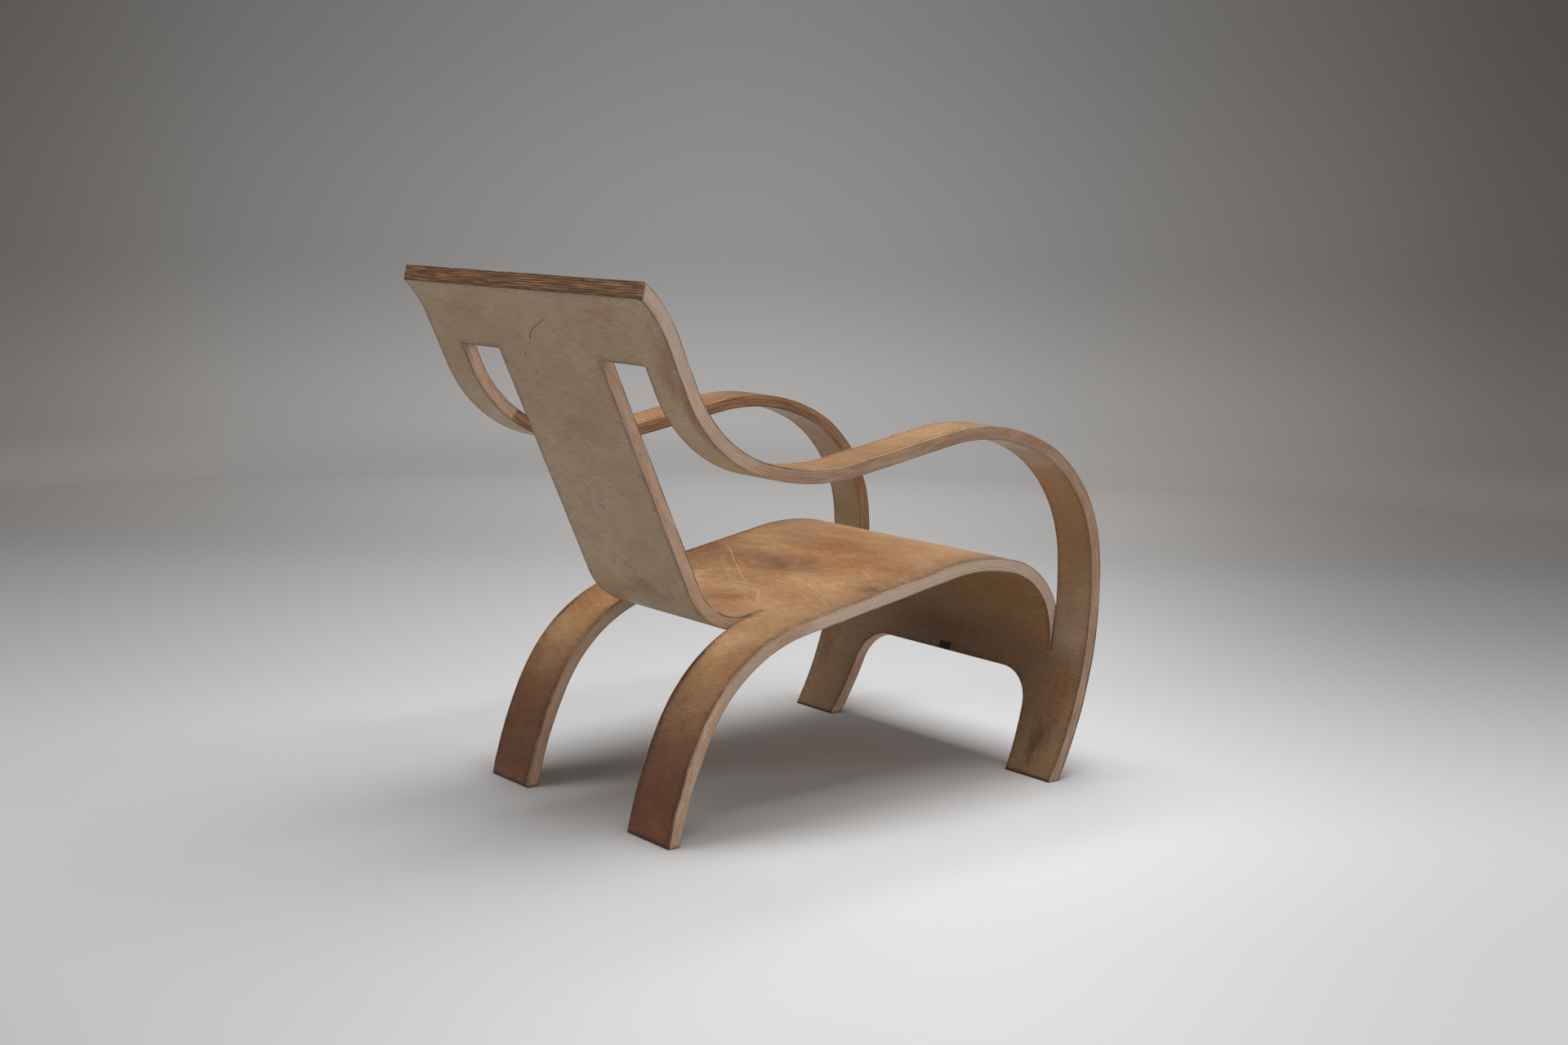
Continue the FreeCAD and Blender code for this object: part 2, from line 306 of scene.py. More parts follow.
band_lines = mirrored(stem_lines, window_lines, arm_lines)
seat_lines = mirrored(stem_lines, leg_lines)
panel_lines = mirrored(stem_lines, leg_lines, arm_lines)
print("grid lines: band", len(band_lines), "seat", len(seat_lines), "panel", len(panel_lines))

# %% Lay one block of the grid
blocks = []


def place_on(path, x, distance, depth):
    """Points of the chair at places across and along a strip, at a depth."""
    point, heading = path.at(distance, depth)
    return np.stack([x, middle - point[..., 0], point[..., 1]], -1), heading


def lay_block(path, x, distance, seat_x=None, seat_distance=None, flat_distance=None):
    """x and distance are grids, rows along the sheet. Those of the seat face differ at slanted cuts."""
    seat_x = x if seat_x is None else seat_x
    seat_distance = distance if seat_distance is None else seat_distance
    flat_distance = distance if flat_distance is None else flat_distance
    under, heading = place_on(path, x, distance, 0.0)
    seat, _ = place_on(path, seat_x, seat_distance, SHEET)
    along = np.stack([np.zeros_like(x), -np.cos(heading), np.sin(heading)], -1)
    blocks.append((under, seat - under, np.stack([x, flat_distance], -1), along))


def grid(rows, columns):
    return np.meshgrid(rows, columns, indexing="ij")


# %% [markdown]
# The top edge and the feet are cut at a slant, so the two faces of the sheet end at different
# distances. Each face gets its own rows, and a veneer in between lies on the line that joins them.

# %% The band across the top, with the upper corners of the two windows
cut_line = unit(math.radians(TOP_EDGE_SLOPE))


def below_top_cut(point):
    off = point - top_edge
    return off[0] * cut_line[1] - off[1] * cut_line[0] > 0


top_of_seat_face = distance_where(stem, SHEET, -0.05, 0.05, below_top_cut)
sideways = np.abs(band_lines)
rise = WINDOW_CORNER - np.minimum(np.abs(sideways - STEM_HALF), np.abs(sideways - ARM_INNER))
rise = np.clip(rise, 0, WINDOW_CORNER)
in_window = (sideways >= STEM_HALF - 1e-9) & (sideways <= ARM_INNER + 1e-9)
curve = WINDOW_CORNER - np.sqrt(WINDOW_CORNER ** 2 - rise ** 2)
band_foot = window_top + np.where(in_window, curve, WINDOW_CORNER)
share, x = grid(np.linspace(0, 1, math.ceil(window_top / STEP_ALONG) + 1), band_lines)
lay_block(stem, x, share * band_foot,
          seat_distance=top_of_seat_face + share * (band_foot - top_of_seat_face))

# %% The stem, the seat, the arms and the rear legs
LEG_ROWS = 108
strip_start = window_top + WINDOW_CORNER
distance, x = grid(spread(strip_start, seat_root_distance, STEP_ALONG), stem_lines)
lay_block(stem, x, distance)
distance, x = grid(spread(seat_root_distance, join_distance, STEP_ALONG), seat_lines)
lay_block(stem, x, distance)

shrink = (join_distance - strip_start) / (arm_join_distance - strip_start)
for columns in (arm_lines, -arm_lines[::-1]):
    distance, x = grid(spread(strip_start, arm_join_distance, STEP_ALONG), columns)
    lay_block(arm, x, distance, flat_distance=strip_start + (distance - strip_start) * shrink)

leg_ends = [distance_where(leg, depth, seat_root_distance - 0.6, seat_root_distance - 0.25,
                           lambda point: point[1] > 0) for depth in (0.0, SHEET)]
for columns in (leg_lines, -leg_lines[::-1]):
    share, x = grid(np.linspace(0, 1, LEG_ROWS), columns)
    distances = [end + share * (seat_root_distance - end) for end in leg_ends]
    lay_block(leg, x, distances[0], seat_distance=distances[1])
print("rear leg strips", round((seat_root_distance - leg_ends[0]) / MM, 1), "mm long")

# %% [markdown]
# The arch was cut straight through, square to the panel at its upper edge. Its walls are measured
# with t, the drop below that edge along the cutter's own flat face. The panel is an arc, so the
# distance along it follows from t by an arcsine, a little differently on each face.

# %% The front panel and the arch between the front legs
ROWS_AT_CORNER = 15
ROWS_BELOW_CORNER = 27
PANEL_LEAD = 24 * MM
arch_turn = -math.pi / 2 - math.asin((leg_centre[1] - ARCH_HEIGHT) / FRONT_LEG_RADIUS)


def drop_distance(t, depth):
    """Distance on the stem's path at which a face of the panel lies t below the arch's edge."""
    heading = arch_turn - np.arcsin(t / (FRONT_LEG_RADIUS + depth))
    return join_distance + (math.radians(join_slope) - heading) * FRONT_LEG_RADIUS


def lay_drop_block(x, t, seat_x=None, seat_t=None):
    seat_t = t if seat_t is None else seat_t
    lay_block(stem, x, drop_distance(t, 0.0), seat_x, drop_distance(seat_t, SHEET))


leads = [drop_distance(-PANEL_LEAD, depth) - join_distance for depth in (0.0, SHEET)]
share, x = grid(np.linspace(0, 1, math.ceil(leads[0] / STEP_ALONG) + 1), panel_lines)
lay_block(stem, x, join_distance + share * leads[0], seat_distance=join_distance + share * leads[1])

inside = panel_lines[np.abs(panel_lines) <= corner_end_x + 1e-6]
past_corner = np.clip(np.abs(inside) - corner_x, 0, None)
edge_t = ARCH_CORNER - np.sqrt(ARCH_CORNER ** 2 - past_corner ** 2)
share, x = grid(np.linspace(0, 1, ROWS_AT_CORNER), inside)
lay_drop_block(x, -PANEL_LEAD + share * (edge_t + PANEL_LEAD))

outside = panel_lines[panel_lines >= corner_end_x - 1e-6]
fraction = (outside - corner_end_x) / (HALF_WIDTH - corner_end_x)
floor_t = []
for depth in (0.0, SHEET):
    end = distance_where(stem, depth, join_distance + 0.1, join_distance + 0.3, lambda point: point[1] < 0)
    floor_t.append(math.sin(arch_turn - stem.at(end, depth)[1]) * (FRONT_LEG_RADIUS + depth))


def leg_columns(share, end_t):
    """Grid of a front leg below the arch's corner: its inner edge leans outward by the flare."""
    t = corner_end_t + share * (end_t - corner_end_t)
    inner = corner_end_x + (t - corner_end_t) * math.tan(ARCH_FLARE)
    return inner + fraction[None, :] * (HALF_WIDTH - inner), t


for side in (1, -1):
    turned = slice(None, None, side)
    share, x = grid(np.linspace(0, 1, ROWS_AT_CORNER), side * outside[turned])
    lay_drop_block(x, -PANEL_LEAD + share * (corner_end_t + PANEL_LEAD))
    share = np.repeat(np.linspace(0, 1, ROWS_BELOW_CORNER)[:, None], len(outside), 1)
    (x, t), (seat_x, seat_t) = (leg_columns(share, end) for end in floor_t)
    lay_drop_block(side * x[:, turned], t, side * seat_x[:, turned], seat_t)
print("blocks", len(blocks), "points", sum(block[0][..., 0].size for block in blocks))

# %% Merge the blocks into one surface
MERGE = 2e-5
under, reach, flat, along = (np.concatenate([field.reshape(-1, field.shape[-1]) for field in fields])
                             for fields in zip(*blocks))
quads = []
first = 0
for block in blocks:
    numbers = first + np.arange(block[0][..., 0].size).reshape(block[0].shape[:2])
    corners = (numbers[:-1, :-1], numbers[1:, :-1], numbers[1:, 1:], numbers[:-1, 1:])
    quads.append(np.stack([corner.ravel() for corner in corners], -1))
    first += numbers.size
keys = np.round(under / MERGE + 0.3).astype(np.int64)
_, kept, merged_to = np.unique(keys, axis=0, return_index=True, return_inverse=True)
faces = merged_to.reshape(-1)[np.concatenate(quads)]
under, reach, flat, along = under[kept], reach[kept], flat[kept], along[kept]
print("merged surface:", len(under), "points", len(faces), "faces")

# %% [markdown]
# ## Where the sheet is cut
# An edge that belongs to one face only is a cut edge. Every point learns how far it is from the
# nearest cut and which way leads away from it. Wear, dirt and the rounded arris all depend on this.

# %% Find the cut edges and each point's nearest cut
CORNER_LOSS = 1.2 * MM
CHUNK = 1000
edges = np.concatenate([faces[:, [n, (n + 1) % 4]] for n in range(4)])
_, which, count = np.unique(np.sort(edges, 1), axis=0, return_inverse=True, return_counts=True)
rim_edges = edges[count[which.reshape(-1)] == 1]
rim_start = flat[rim_edges[:, 0]]
step = flat[rim_edges[:, 1]] - rim_start
rim_length = np.linalg.norm(step, axis=1)
step /= rim_length[:, None]
inward_flat = np.zeros_like(flat)
for end in (0, 1):
    np.add.at(inward_flat, rim_edges[:, end], np.stack([step[:, 1], -step[:, 0]], -1))
on_rim = np.unique(rim_edges)
half = inward_flat[on_rim] / 2
inward_flat[on_rim] = half / np.maximum((half ** 2).sum(1, keepdims=True), 0.35)

rim_distance = np.zeros(len(flat))
nearest = np.arange(len(flat))
for begin in range(0, len(flat), CHUNK):
    chunk = flat[begin:begin + CHUNK, None]
    off = chunk - rim_start
    gone = np.clip((off * step).sum(2), 0, rim_length)
    apart = np.linalg.norm(off - gone[..., None] * step, axis=2)
    rim_distance[begin:begin + CHUNK] = apart.min(1)
    nearest[begin:begin + CHUNK] = on_rim[np.linalg.norm(chunk - flat[on_rim], axis=2).argmin(1)]
inward_flat = inward_flat[nearest]
inward = inward_flat[:, :1] * np.array([[1.0, 0, 0]]) + inward_flat[:, 1:] * along
corner = (np.abs(flat[:, 0]) > HALF_WIDTH - 1e-6) & (flat[:, 1] < 1e-6)
under[corner] += CORNER_LOSS * inward[corner]
print("cut edges", len(rim_edges), "with", len(on_rim), "points,", int(corner.sum()), "blunt corners")

# %% [markdown]
# ## Wear along the cuts
# The arris is rounded by about a millimetre everywhere. Hands and floors have worn it unevenly, and
# the upper corner beside the photograph's camera has lost a wide chamfer. The varnish is also
# bleached on that side of the back. Smooth random bumps along the sheet stand for the uneven wear.

# %% Rounding, bleaching, grime and painted shade at each point
ARRIS = 0.8 * MM
FOOT_ARRIS = 0.5 * MM
NEAR_EDGE = 12 * MM
CHAMFER = 3.6 * MM
CHAMFER_LENGTH = 62 * MM
rng = np.random.default_rng(7)


def wandering(values, length, count=24):
    """Smooth random numbers around 0 along a distance, as a sum of waves of several lengths."""
    total = np.zeros_like(values)
    for _ in range(count):
        wave = length * rng.uniform(0.5, 3.0)
        total += np.sin(values * 2 * math.pi / wave + rng.uniform(0, 2 * math.pi))
    return total / math.sqrt(count)


x, s = flat[:, 0], flat[:, 1]
height = under[:, 2]
place_along = s + 0.37 * x
round_seat = ARRIS * (1 + 0.25 * wandering(place_along, 60 * MM))
round_under = ARRIS * (0.9 + 0.25 * wandering(place_along + 1.7, 60 * MM))
near_side = (x < -HALF_WIDTH + NEAR_EDGE)
corner_wear = near_side * np.clip(1 - s / CHAMFER_LENGTH, 0, 1) * (s < 0.1)
round_under += CHAMFER * corner_wear ** 0.7
round_seat += 0.6 * MM * np.exp(-(s / (30 * MM)) ** 2)
for rounding in (round_seat, round_under):
    rounding += FOOT_ARRIS * (height < 12 * MM)

is_arm = np.abs(x) > ARM_INNER - 1e-6
bleach = near_side / (1 + np.exp((s - 0.2) / 0.035))
bleach = np.clip(bleach + 0.14 * is_arm * (s > 0.2) * near_side + 0.12, 0, 1)
# Hand stain on the top edge, dirt on the near arm's edge, painted shade on the far arm's inner edge, and a
# painted contact shadow within 5 mm of the floor.
grime_and_shade = np.max([(s < 2 * MM) * (height > 0.6), 0.85 * (np.abs(x - ARM_INNER) < MM) * (s > 0.25),
                0.42 * near_side * np.clip((s - 0.26) / 0.12, 0, 1),
                np.clip(1 - height / (5 * MM), 0, 1)], axis=0)
print("arris rounding", round(float(round_under.min() / MM), 2), "to",
      round(float(round_under.max() / MM), 2), "mm")

# %% The bent sheet as a mesh that carries its measurements
sheet_mesh = bpy.data.meshes.new("bent_sheet")
sheet_mesh.from_pydata(under.tolist(), [], faces.tolist(), shade_flat=False)
measurements = {"reach": reach, "inward": inward, "flat_place": np.column_stack([flat, np.zeros(len(flat))]),
                "rim": rim_distance, "round_seat": round_seat, "round_under": round_under,
                "bleach": bleach, "grime_and_shade": grime_and_shade}
for name, values in measurements.items():
    kind, field = ("FLOAT_VECTOR", "vector") if values.ndim == 2 else ("FLOAT", "value")
    attribute = sheet_mesh.attributes.new(name, kind, "POINT")
    attribute.data.foreach_set(field, np.ascontiguousarray(values, dtype=np.float32).ravel())
print("sheet attributes", list(measurements))

# %% [markdown]
# ## Wires that can be added and multiplied
# Node trees are easier to read as formulas. A wire here is an output of a node, and its sums,
# differences, products and quotients are Math nodes, or Vector Math nodes if it carries a vector.
# A node group is a plain function from the group's inputs to its outputs.

# %% Helpers for every kind of node tree


class Wire:
    """An output of a node. Arithmetic on it adds the node that works it out."""

    def __init__(self, socket):
        self.socket = socket
        self.tree = socket.id_data

    def to(self, socket):
        self.tree.links.new(self.socket, socket)

    def beside(self, name):
        """Another output of the same node."""
        return Wire(self.socket.node.outputs[name])

    def joined(self, operation, first, second):
        kind = "ShaderNodeVectorMath" if self.socket.type == "VECTOR" else "ShaderNodeMath"
        return add(self.tree, kind, {"operation": operation}, first, second)

    def __add__(self, other):
        return self.joined("ADD", self, other)

    def __sub__(self, other):
        return self.joined("SUBTRACT", self, other)

    def __rsub__(self, other):
        return self.joined("SUBTRACT", other, self)

    def __mul__(self, other):
        if self.socket.type == "VECTOR" and not isinstance(other, tuple):
            return add(self.tree, "ShaderNodeVectorMath", {"operation": "SCALE"}, self, Scale=other)
        return self.joined("MULTIPLY", self, other)

    def __truediv__(self, other):
        if self.socket.type == "VECTOR" and isinstance(other, float):
            return self * (1 / other)
        return self.joined("DIVIDE", self, other)


def add(tree, kind, settings=None, *values, output=0, **named):
    """Add a node and give one output. Values fill its inputs in order, and named ones by name."""
    node = tree.nodes.new(kind)
    for name, value in (settings or {}).items():
        setattr(node, name, value)
    pairs = list(zip(node.inputs, values))
    pairs += [(node.inputs[name.replace("_", " ")], value) for name, value in named.items()]
    for socket, value in pairs:
        if isinstance(value, Wire):
            value.to(socket)
        elif value is not None:
            socket.default_value = value
    return Wire(node.outputs[output])


def tree_of(*values):
    return next(value.tree for value in values if isinstance(value, Wire))


def calc(operation, *values, clamp=False):
    return add(tree_of(*values), "ShaderNodeMath", {"operation": operation, "use_clamp": clamp}, *values)


def measure(operation, *vectors):
    """One number from vectors, such as a length or a dot product."""
    return add(tree_of(*vectors), "ShaderNodeVectorMath", {"operation": operation}, *vectors, output="Value")


def vector(*parts):
    return add(tree_of(*parts), "ShaderNodeCombineXYZ", None, *parts)


def part(place, number):
    return add(place.tree, "ShaderNodeSeparateXYZ", None, place, output=number)


def make_group(name, build, outputs, kind="Shader", **inputs):
    """A node group. Each input is given by its default number or its kind of socket."""
    tree = bpy.data.node_groups.new(name, kind + "NodeTree")
    for input_name, default in inputs.items():
        plain = isinstance(default, float)
        socket = tree.interface.new_socket(input_name.replace("_", " "), in_out="INPUT",
                                           socket_type="NodeSocket" + ("Float" if plain else default))
        if plain:
            socket.default_value = default
    for output_name in outputs:
        made_of = "Float" if kind == "Shader" else "Geometry"
        tree.interface.new_socket(output_name, in_out="OUTPUT", socket_type="NodeSocket" + made_of)
    given = tree.nodes.new("NodeGroupInput").outputs
    result = tree.nodes.new("NodeGroupOutput").inputs
    for output_name, wire in zip(outputs, build(*[Wire(given[n]) for n in range(len(inputs))])):
        wire.to(result[output_name])
    return tree


# %% [markdown]
# ## Laying the veneers with Geometry Nodes
# Thirteen veneers follow one rule, so one node tree makes them all. It takes the bent sheet, moves
# each point to the veneer's lower depth, and raises a copy through a few levels to its upper depth.
# At each level the rim steps back by the rounding that the sheet's arris has at that depth, so the
# rounded arris runs through from veneer to veneer.

# %% The tree that lays one veneer
LEVELS = 4
FADE = 4.0
SHARP_ANGLE = 0.7


def carried(tree, name, kind="FLOAT"):
    """A measurement that the sheet's mesh carries."""
    return add(tree, "GeometryNodeInputNamedAttribute", {"data_type": kind}, name, output="Attribute")


def stored(geometry, name, value, kind="FLOAT", domain="POINT", selection=None):
    return add(geometry.tree, "GeometryNodeStoreNamedAttribute", {"data_type": kind, "domain": domain},
               geometry, selection, name, value)


def arris_shift(radius, depth_from_face):
    """How far a quarter-round arris has stepped back at a depth below its face."""
    left_over = calc("MAXIMUM", radius - depth_from_face, 0.0)
    return radius - calc("SQRT", calc("MAXIMUM", radius * radius - left_over * left_over, 0.0))


def place_at(depth, thickness, set_back):
    """Every point's place at a depth of the sheet, stepped back near the cut edges."""
    tree = depth.tree
    shift = calc("MAXIMUM", arris_shift(carried(tree, "round_seat"), thickness - depth),
                 arris_shift(carried(tree, "round_under"), depth)) + set_back
    fade = calc("SUBTRACT", 1.0, carried(tree, "rim") / (shift * FADE + 1e-5), clamp=True)
    under, reach, inward = (carried(tree, name, "FLOAT_VECTOR") for name in ("under", "reach", "inward"))
    return under + reach * (depth / thickness) + inward * (shift * fade)


def lay_one_veneer(sheet, low, high, thickness, crowding, set_back, face_finish, edge_finish):
    """Crowding above 1 gathers the levels at the low side, and below 1 at the high."""
    tree = sheet.tree

    def raised(shape, level, selection=None):
        depth = calc("POWER", level / LEVELS, crowding) * (high - low) + low
        moved = add(tree, "GeometryNodeSetPosition", None, shape, selection,
                    place_at(depth, thickness, set_back))
        return stored(moved, "depth", depth, selection=selection)

    shape = raised(stored(sheet, "under", add(tree, "GeometryNodeInputPosition"), "FLOAT_VECTOR"), 0)
    both = add(tree, "GeometryNodeJoinGeometry", None, add(tree, "GeometryNodeFlipFaces", None, shape))
    for level in range(1, LEVELS + 1):
        risen = add(tree, "GeometryNodeExtrudeMesh", {"mode": "FACES"}, shape, Offset_Scale=0.0,
                    Individual=False)
        shape = stored(risen, "is_wall", True, "BOOLEAN", "FACE", risen.beside("Side"))
        shape = raised(shape, level, risen.beside("Top"))
    shape.to(both.socket.node.inputs[0])
    closed = add(tree, "GeometryNodeMergeByDistance", None, both, Distance=1e-6)
    angle = add(tree, "GeometryNodeInputMeshEdgeAngle", output="Unsigned Angle")
    sharp = add(tree, "FunctionNodeCompare", {"operation": "GREATER_THAN"}, angle, SHARP_ANGLE)
    closed = add(tree, "GeometryNodeSetShadeSmooth", {"domain": "EDGE"}, closed, sharp, False)
    real = add(tree, "GeometryNodeRealizeInstances", None, closed)
    faced = add(tree, "GeometryNodeSetMaterial", None, real, None, face_finish)
    is_wall = carried(tree, "is_wall", "BOOLEAN")
    return [add(tree, "GeometryNodeSetMaterial", None, faced, is_wall, edge_finish)]


lay_veneer = make_group(
    "lay_veneer", lay_one_veneer, ["Veneer"], "Geometry", Sheet="Geometry", Depth_Low=0.0,
    Depth_High=VENEER, Sheet_Thickness=SHEET, Crowding=1.0, Set_Back=0.0,
    Face_Finish="Material", Edge_Finish="Material")
print("veneer tree has", len(lay_veneer.nodes), "nodes")

# %% [markdown]
# ## Finishes
# The veneers are rotary cut: the log is turned against a long knife, and the sheet that peels off
# shows short dark flecks where the knife opens the pores, soft clouds and a few pale contour lines.
# The grain of both face veneers runs across the chair. Each effect that several finishes use is a
# node group with its sizes as inputs, and it reads the flat place, so it bends with the wood.
# Colours are written as on a screen, 0 to 255, and a tint above 255 makes what it tints lighter.

# %% Colours and small shader helpers


def srgb(red, green, blue):
    """A screen colour as the linear values that a shader takes."""
    channels = (value / 255 for value in (red, green, blue))
    return tuple(((value + 0.055) / 1.055) ** 2.4 for value in channels) + (1.0,)


def blend(factor, first, second, mode="MIX"):
    """Mix two colours, each a wire or a screen colour."""
    tones = [tone if isinstance(tone, Wire) else srgb(*tone) for tone in (first, second)]
    return add(factor.tree, "ShaderNodeMix", {"data_type": "RGBA", "blend_type": mode}, factor,
               *[None] * 5, *tones, output=2)


def tinted(colour, mask, tone):
    """Multiply a colour by a tint where the mask is."""
    return blend(mask, colour, tone, "MULTIPLY")


def ramp(value, low, high, to_low=0.0, to_high=1.0):
    """A soft step from to_low to to_high while the value goes from low to high."""
    return add(value.tree, "ShaderNodeMapRange", {"interpolation_type": "SMOOTHSTEP"},
               value, low, high, to_low, to_high)


def noise(place, detail=2.0, roughness=0.5, distortion=0.0):
    return add(place.tree, "ShaderNodeTexNoise", None, Vector=place, Scale=1.0, Detail=detail,
               Roughness=roughness, Distortion=distortion)


def use(group, place, output=0, **values):
    return add(place.tree, "ShaderNodeGroup", {"node_tree": group}, Place=place, output=output, **values)


# %% Group: the short flecks of rotary-cut veneer


def fleck_mask(place, length, width, cover, seed):
    drift = noise(place / (90 * MM, 60 * MM, 1.0), 1.0) * (7 * MM)
    placed = (place + vector(0.0, drift, 0.0)) / vector(length, width, 1.0)
    grainy = noise(placed + vector(seed, 0.0, seed), 1.5, 0.55)
    threshold = 0.78 - cover * 0.5
    return [ramp(grainy, threshold, threshold + 0.12)]


flecks = make_group("wood_flecks", fleck_mask, ["Flecks"], Place="Vector", Length=6 * MM,
                    Width=0.5 * MM, Cover=0.4, Seed=0.0)

# %% Group: the clouds and contour lines of the figure


def figure_masks(place, size, rings, seed):
    placed = place / vector(size * 1.9, size, 1.0) + vector(seed, seed, 0.0)
    cloud = noise(placed, 3.0, 0.5, 0.7)
    line = calc("PINGPONG", cloud * rings, 0.5)
    return [ramp(cloud, 0.36, 0.64), ramp(line, 0.11, 0.0)]


figure = make_group("rotary_figure", figure_masks, ["Cloud", "Lines"], Place="Vector", Size=80 * MM,
                    Rings=7.0, Seed=0.0)

# %% Group: wear that starts at a cut edge and breaks up inward


def worn_mask(place, rim, width, seed):
    ragged = noise(place / (9 * MM, 9 * MM, 1.0) + vector(seed, 0.0, 0.0), 3.0, 0.65)
    width = width * ramp(ragged, 0.3, 0.75, 0.2, 2.2)
    return [ramp(rim, width, width * 0.25)]


arris_wear = make_group("arris_wear", worn_mask, ["Worn"], Place="Vector", Rim=0.0, Width=3 * MM, Seed=0.0)

# %% Group: one soft patch at a place on the sheet, for stains, painted shade and painted sheen


def stain_and_shade_mask(place, centre, half_across, half_along, ragged):
    off = (place - centre) / vector(half_across, half_along, 1.0)
    rough = (noise((off + centre) * 1.6, 2.0, 0.6) - 0.5) * (ragged * 3.0)
    return [ramp(measure("LENGTH", off) + rough, 1.2, 0.0)]


stain_and_shade = make_group("stain_and_shade", stain_and_shade_mask, ["Mask"], Place="Vector", Centre="Vector",
                   Half_Across=20 * MM, Half_Along=20 * MM, Ragged=0.5)

# %% Group: one stroke, such as a crack, a scratch or a wandering line of the figure


def stroke_mask(place, start, end, half_width, ragged, wander):
    wobble = (noise(place / (4 * MM), 2.0, 0.6) - 0.5) * (ragged * (6 * MM))
    wobble = wobble + (noise(place / (26 * MM), 2.0, 0.5) - 0.5) * wander
    off = place + vector(wobble, wobble, 0.0) - start
    way = end - start
    share = calc("DIVIDE", measure("DOT_PRODUCT", off, way), measure("DOT_PRODUCT", way, way), clamp=True)
    return [ramp(measure("LENGTH", off - way * share), half_width, half_width * 0.3)]


stroke = make_group("stroke", stroke_mask, ["Mask"], Place="Vector", Start="Vector", End="Vector",
                    Half_Width=0.6 * MM, Ragged=0.5, Wander=0.0)

# %% Group: scattered specks, at most one to a cell


def speck_mask(place, spacing, size, share):
    cells = add(place.tree, "ShaderNodeTexVoronoi", {"voronoi_dimensions": "2D"}, output="Distance",
                Vector=place * calc("DIVIDE", 1.0, spacing), Scale=1.0, Randomness=0.9)
    red = add(place.tree, "ShaderNodeSeparateColor", None, cells.beside("Color"))
    return [ramp(cells * spacing, size, size * 0.4) * calc("LESS_THAN", red, share)]


specks = make_group("specks", speck_mask, ["Mask"], Place="Vector", Spacing=20 * MM, Size=1 * MM, Share=0.3)

# %% Group: a soft rectangle on the flat sheet, the same on both sides of the middle
SIDE_SOFT = 0.5 * MM


def area_mask(place, inner, outer, start, end, soft):
    sideways = calc("ABSOLUTE", part(place, 0))
    down = part(place, 1) + (noise(place / (70 * MM), 3.0, 0.6) - 0.5) * soft
    end_soft = soft * 0.5
    within = ramp(sideways, inner - SIDE_SOFT, inner + SIDE_SOFT)
    within = within * ramp(sideways, outer + SIDE_SOFT, outer - SIDE_SOFT)
    within = within * ramp(down, start - end_soft, start + end_soft)
    return [within * ramp(down, end + end_soft, end - end_soft)]


area = make_group("area", area_mask, ["Mask"], Place="Vector", Inner=0.0, Outer=1.0, From=0.0, To=1.0,
                  Soft=20 * MM)


def use_area(place, start, end, soft, inner=0.0, outer=1000.0):
    """A soft rectangle with its limits in millimetres on the flat sheet."""
    return use(area, place, From=start * MM, To=end * MM, Soft=soft * MM, Inner=inner * MM, Outer=outer * MM)


def arm_area(place):
    return use_area(place, 380, 1150, 60, 228, 310)


print("shader groups", [group.name for group in bpy.data.node_groups])

# %% [markdown]
# ## The two faces
# The seat face is warm orange brown under an old satin varnish. The under face, which is also the
# rear of the back, has gone a greyish khaki. Both are built the same way: two tones in soft clouds,
# fine fibre, dark flecks, tinted areas, then the single marks, and last the wear along the arris.
# Some of the tinted areas and stains are painted shade, where one part of the chair shades another,
# and a few are painted highlights and sheen.
# Marks are given by their place on the flat sheet in millimetres, across and then along.

# %% Helpers for a finish


def new_material(name):
    """A material, its node tree and the inputs of its shader."""
    material = bpy.data.materials.new(name)
    material.use_nodes = True
    return material, material.node_tree, material.node_tree.nodes["Principled BSDF"].inputs


def surface(tree, name, output="Fac"):
    """A measurement that the mesh carries, as a number or as a vector."""
    return add(tree, "ShaderNodeAttribute", {"attribute_name": name}, output=output)


def bump(height, strength, distance):
    return add(height.tree, "ShaderNodeBump", None, Strength=strength, Distance=distance, Height=height)


def spot_at(x, s):
    return (x * MM, s * MM, 0.0)


# %% The wood of a face, with its marks
DIRT_WIDTH = 10 * MM
FLOOR_CONTACT_SHADOW = (46, 34, 28)


def wood_colour(place, patch, look):
    """Clouds, contour lines and fibre in the tones of one face."""
    seed = look["seed"]
    colour = blend(use(figure, place, Size=110 * MM, Seed=seed), look["tones"][0], look["tones"][1])
    colour = blend(patch * look["patchy"], colour, look["tones"][2])
    ring = use(figure, place, "Lines", Size=85 * MM, Seed=seed + 7.0) * use_area(place, 640, 880, 80)
    colour = blend(ring * look["rings"], colour, look["bare"])
    fibre = noise(place / (22 * MM, 1.3 * MM, 1.0), 4.0, 0.68, 0.25)
    colour = tinted(colour, ramp(fibre, 0.62, 0.3), look["fibre"])
    light_fibre = noise(place / (18 * MM, 1.0 * MM, 0.7), 3.0, 0.6, 0.25)
    return blend(ramp(light_fibre, 0.52, 0.8, 0.0, look["light"]), colour, look["bare"]), fibre


def marked(colour, place, areas, stains_and_shading, lines):
    """Tinted areas, stains, painted shade and sheen, lines, and how deep the cracks and scratches are cut.
    """
    for inner, outer, start, end, soft, tone in areas:
        colour = tinted(colour, use_area(place, start, end, soft, inner, outer), tone)
    for x, s, half_across, half_along, ragged, tone, strength in stains_and_shading:
        mask = use(stain_and_shade, place, Centre=spot_at(x, s), Half_Across=half_across * MM,
                   Half_Along=half_along * MM, Ragged=ragged)
        colour = tinted(colour, mask * strength, tone)
    cut = 0.0
    for points, half_width, ragged, tone, strength, *wander in lines:
        for first, second in zip(points, points[1:]):
            mask = use(stroke, place, Start=spot_at(*first), End=spot_at(*second),
                       Half_Width=half_width * MM, Ragged=ragged, Wander=sum(wander) * MM) * strength
            colour = blend(mask, colour, tone)
            cut = cut if wander else calc("MAXIMUM", cut, mask)
    return colour, cut


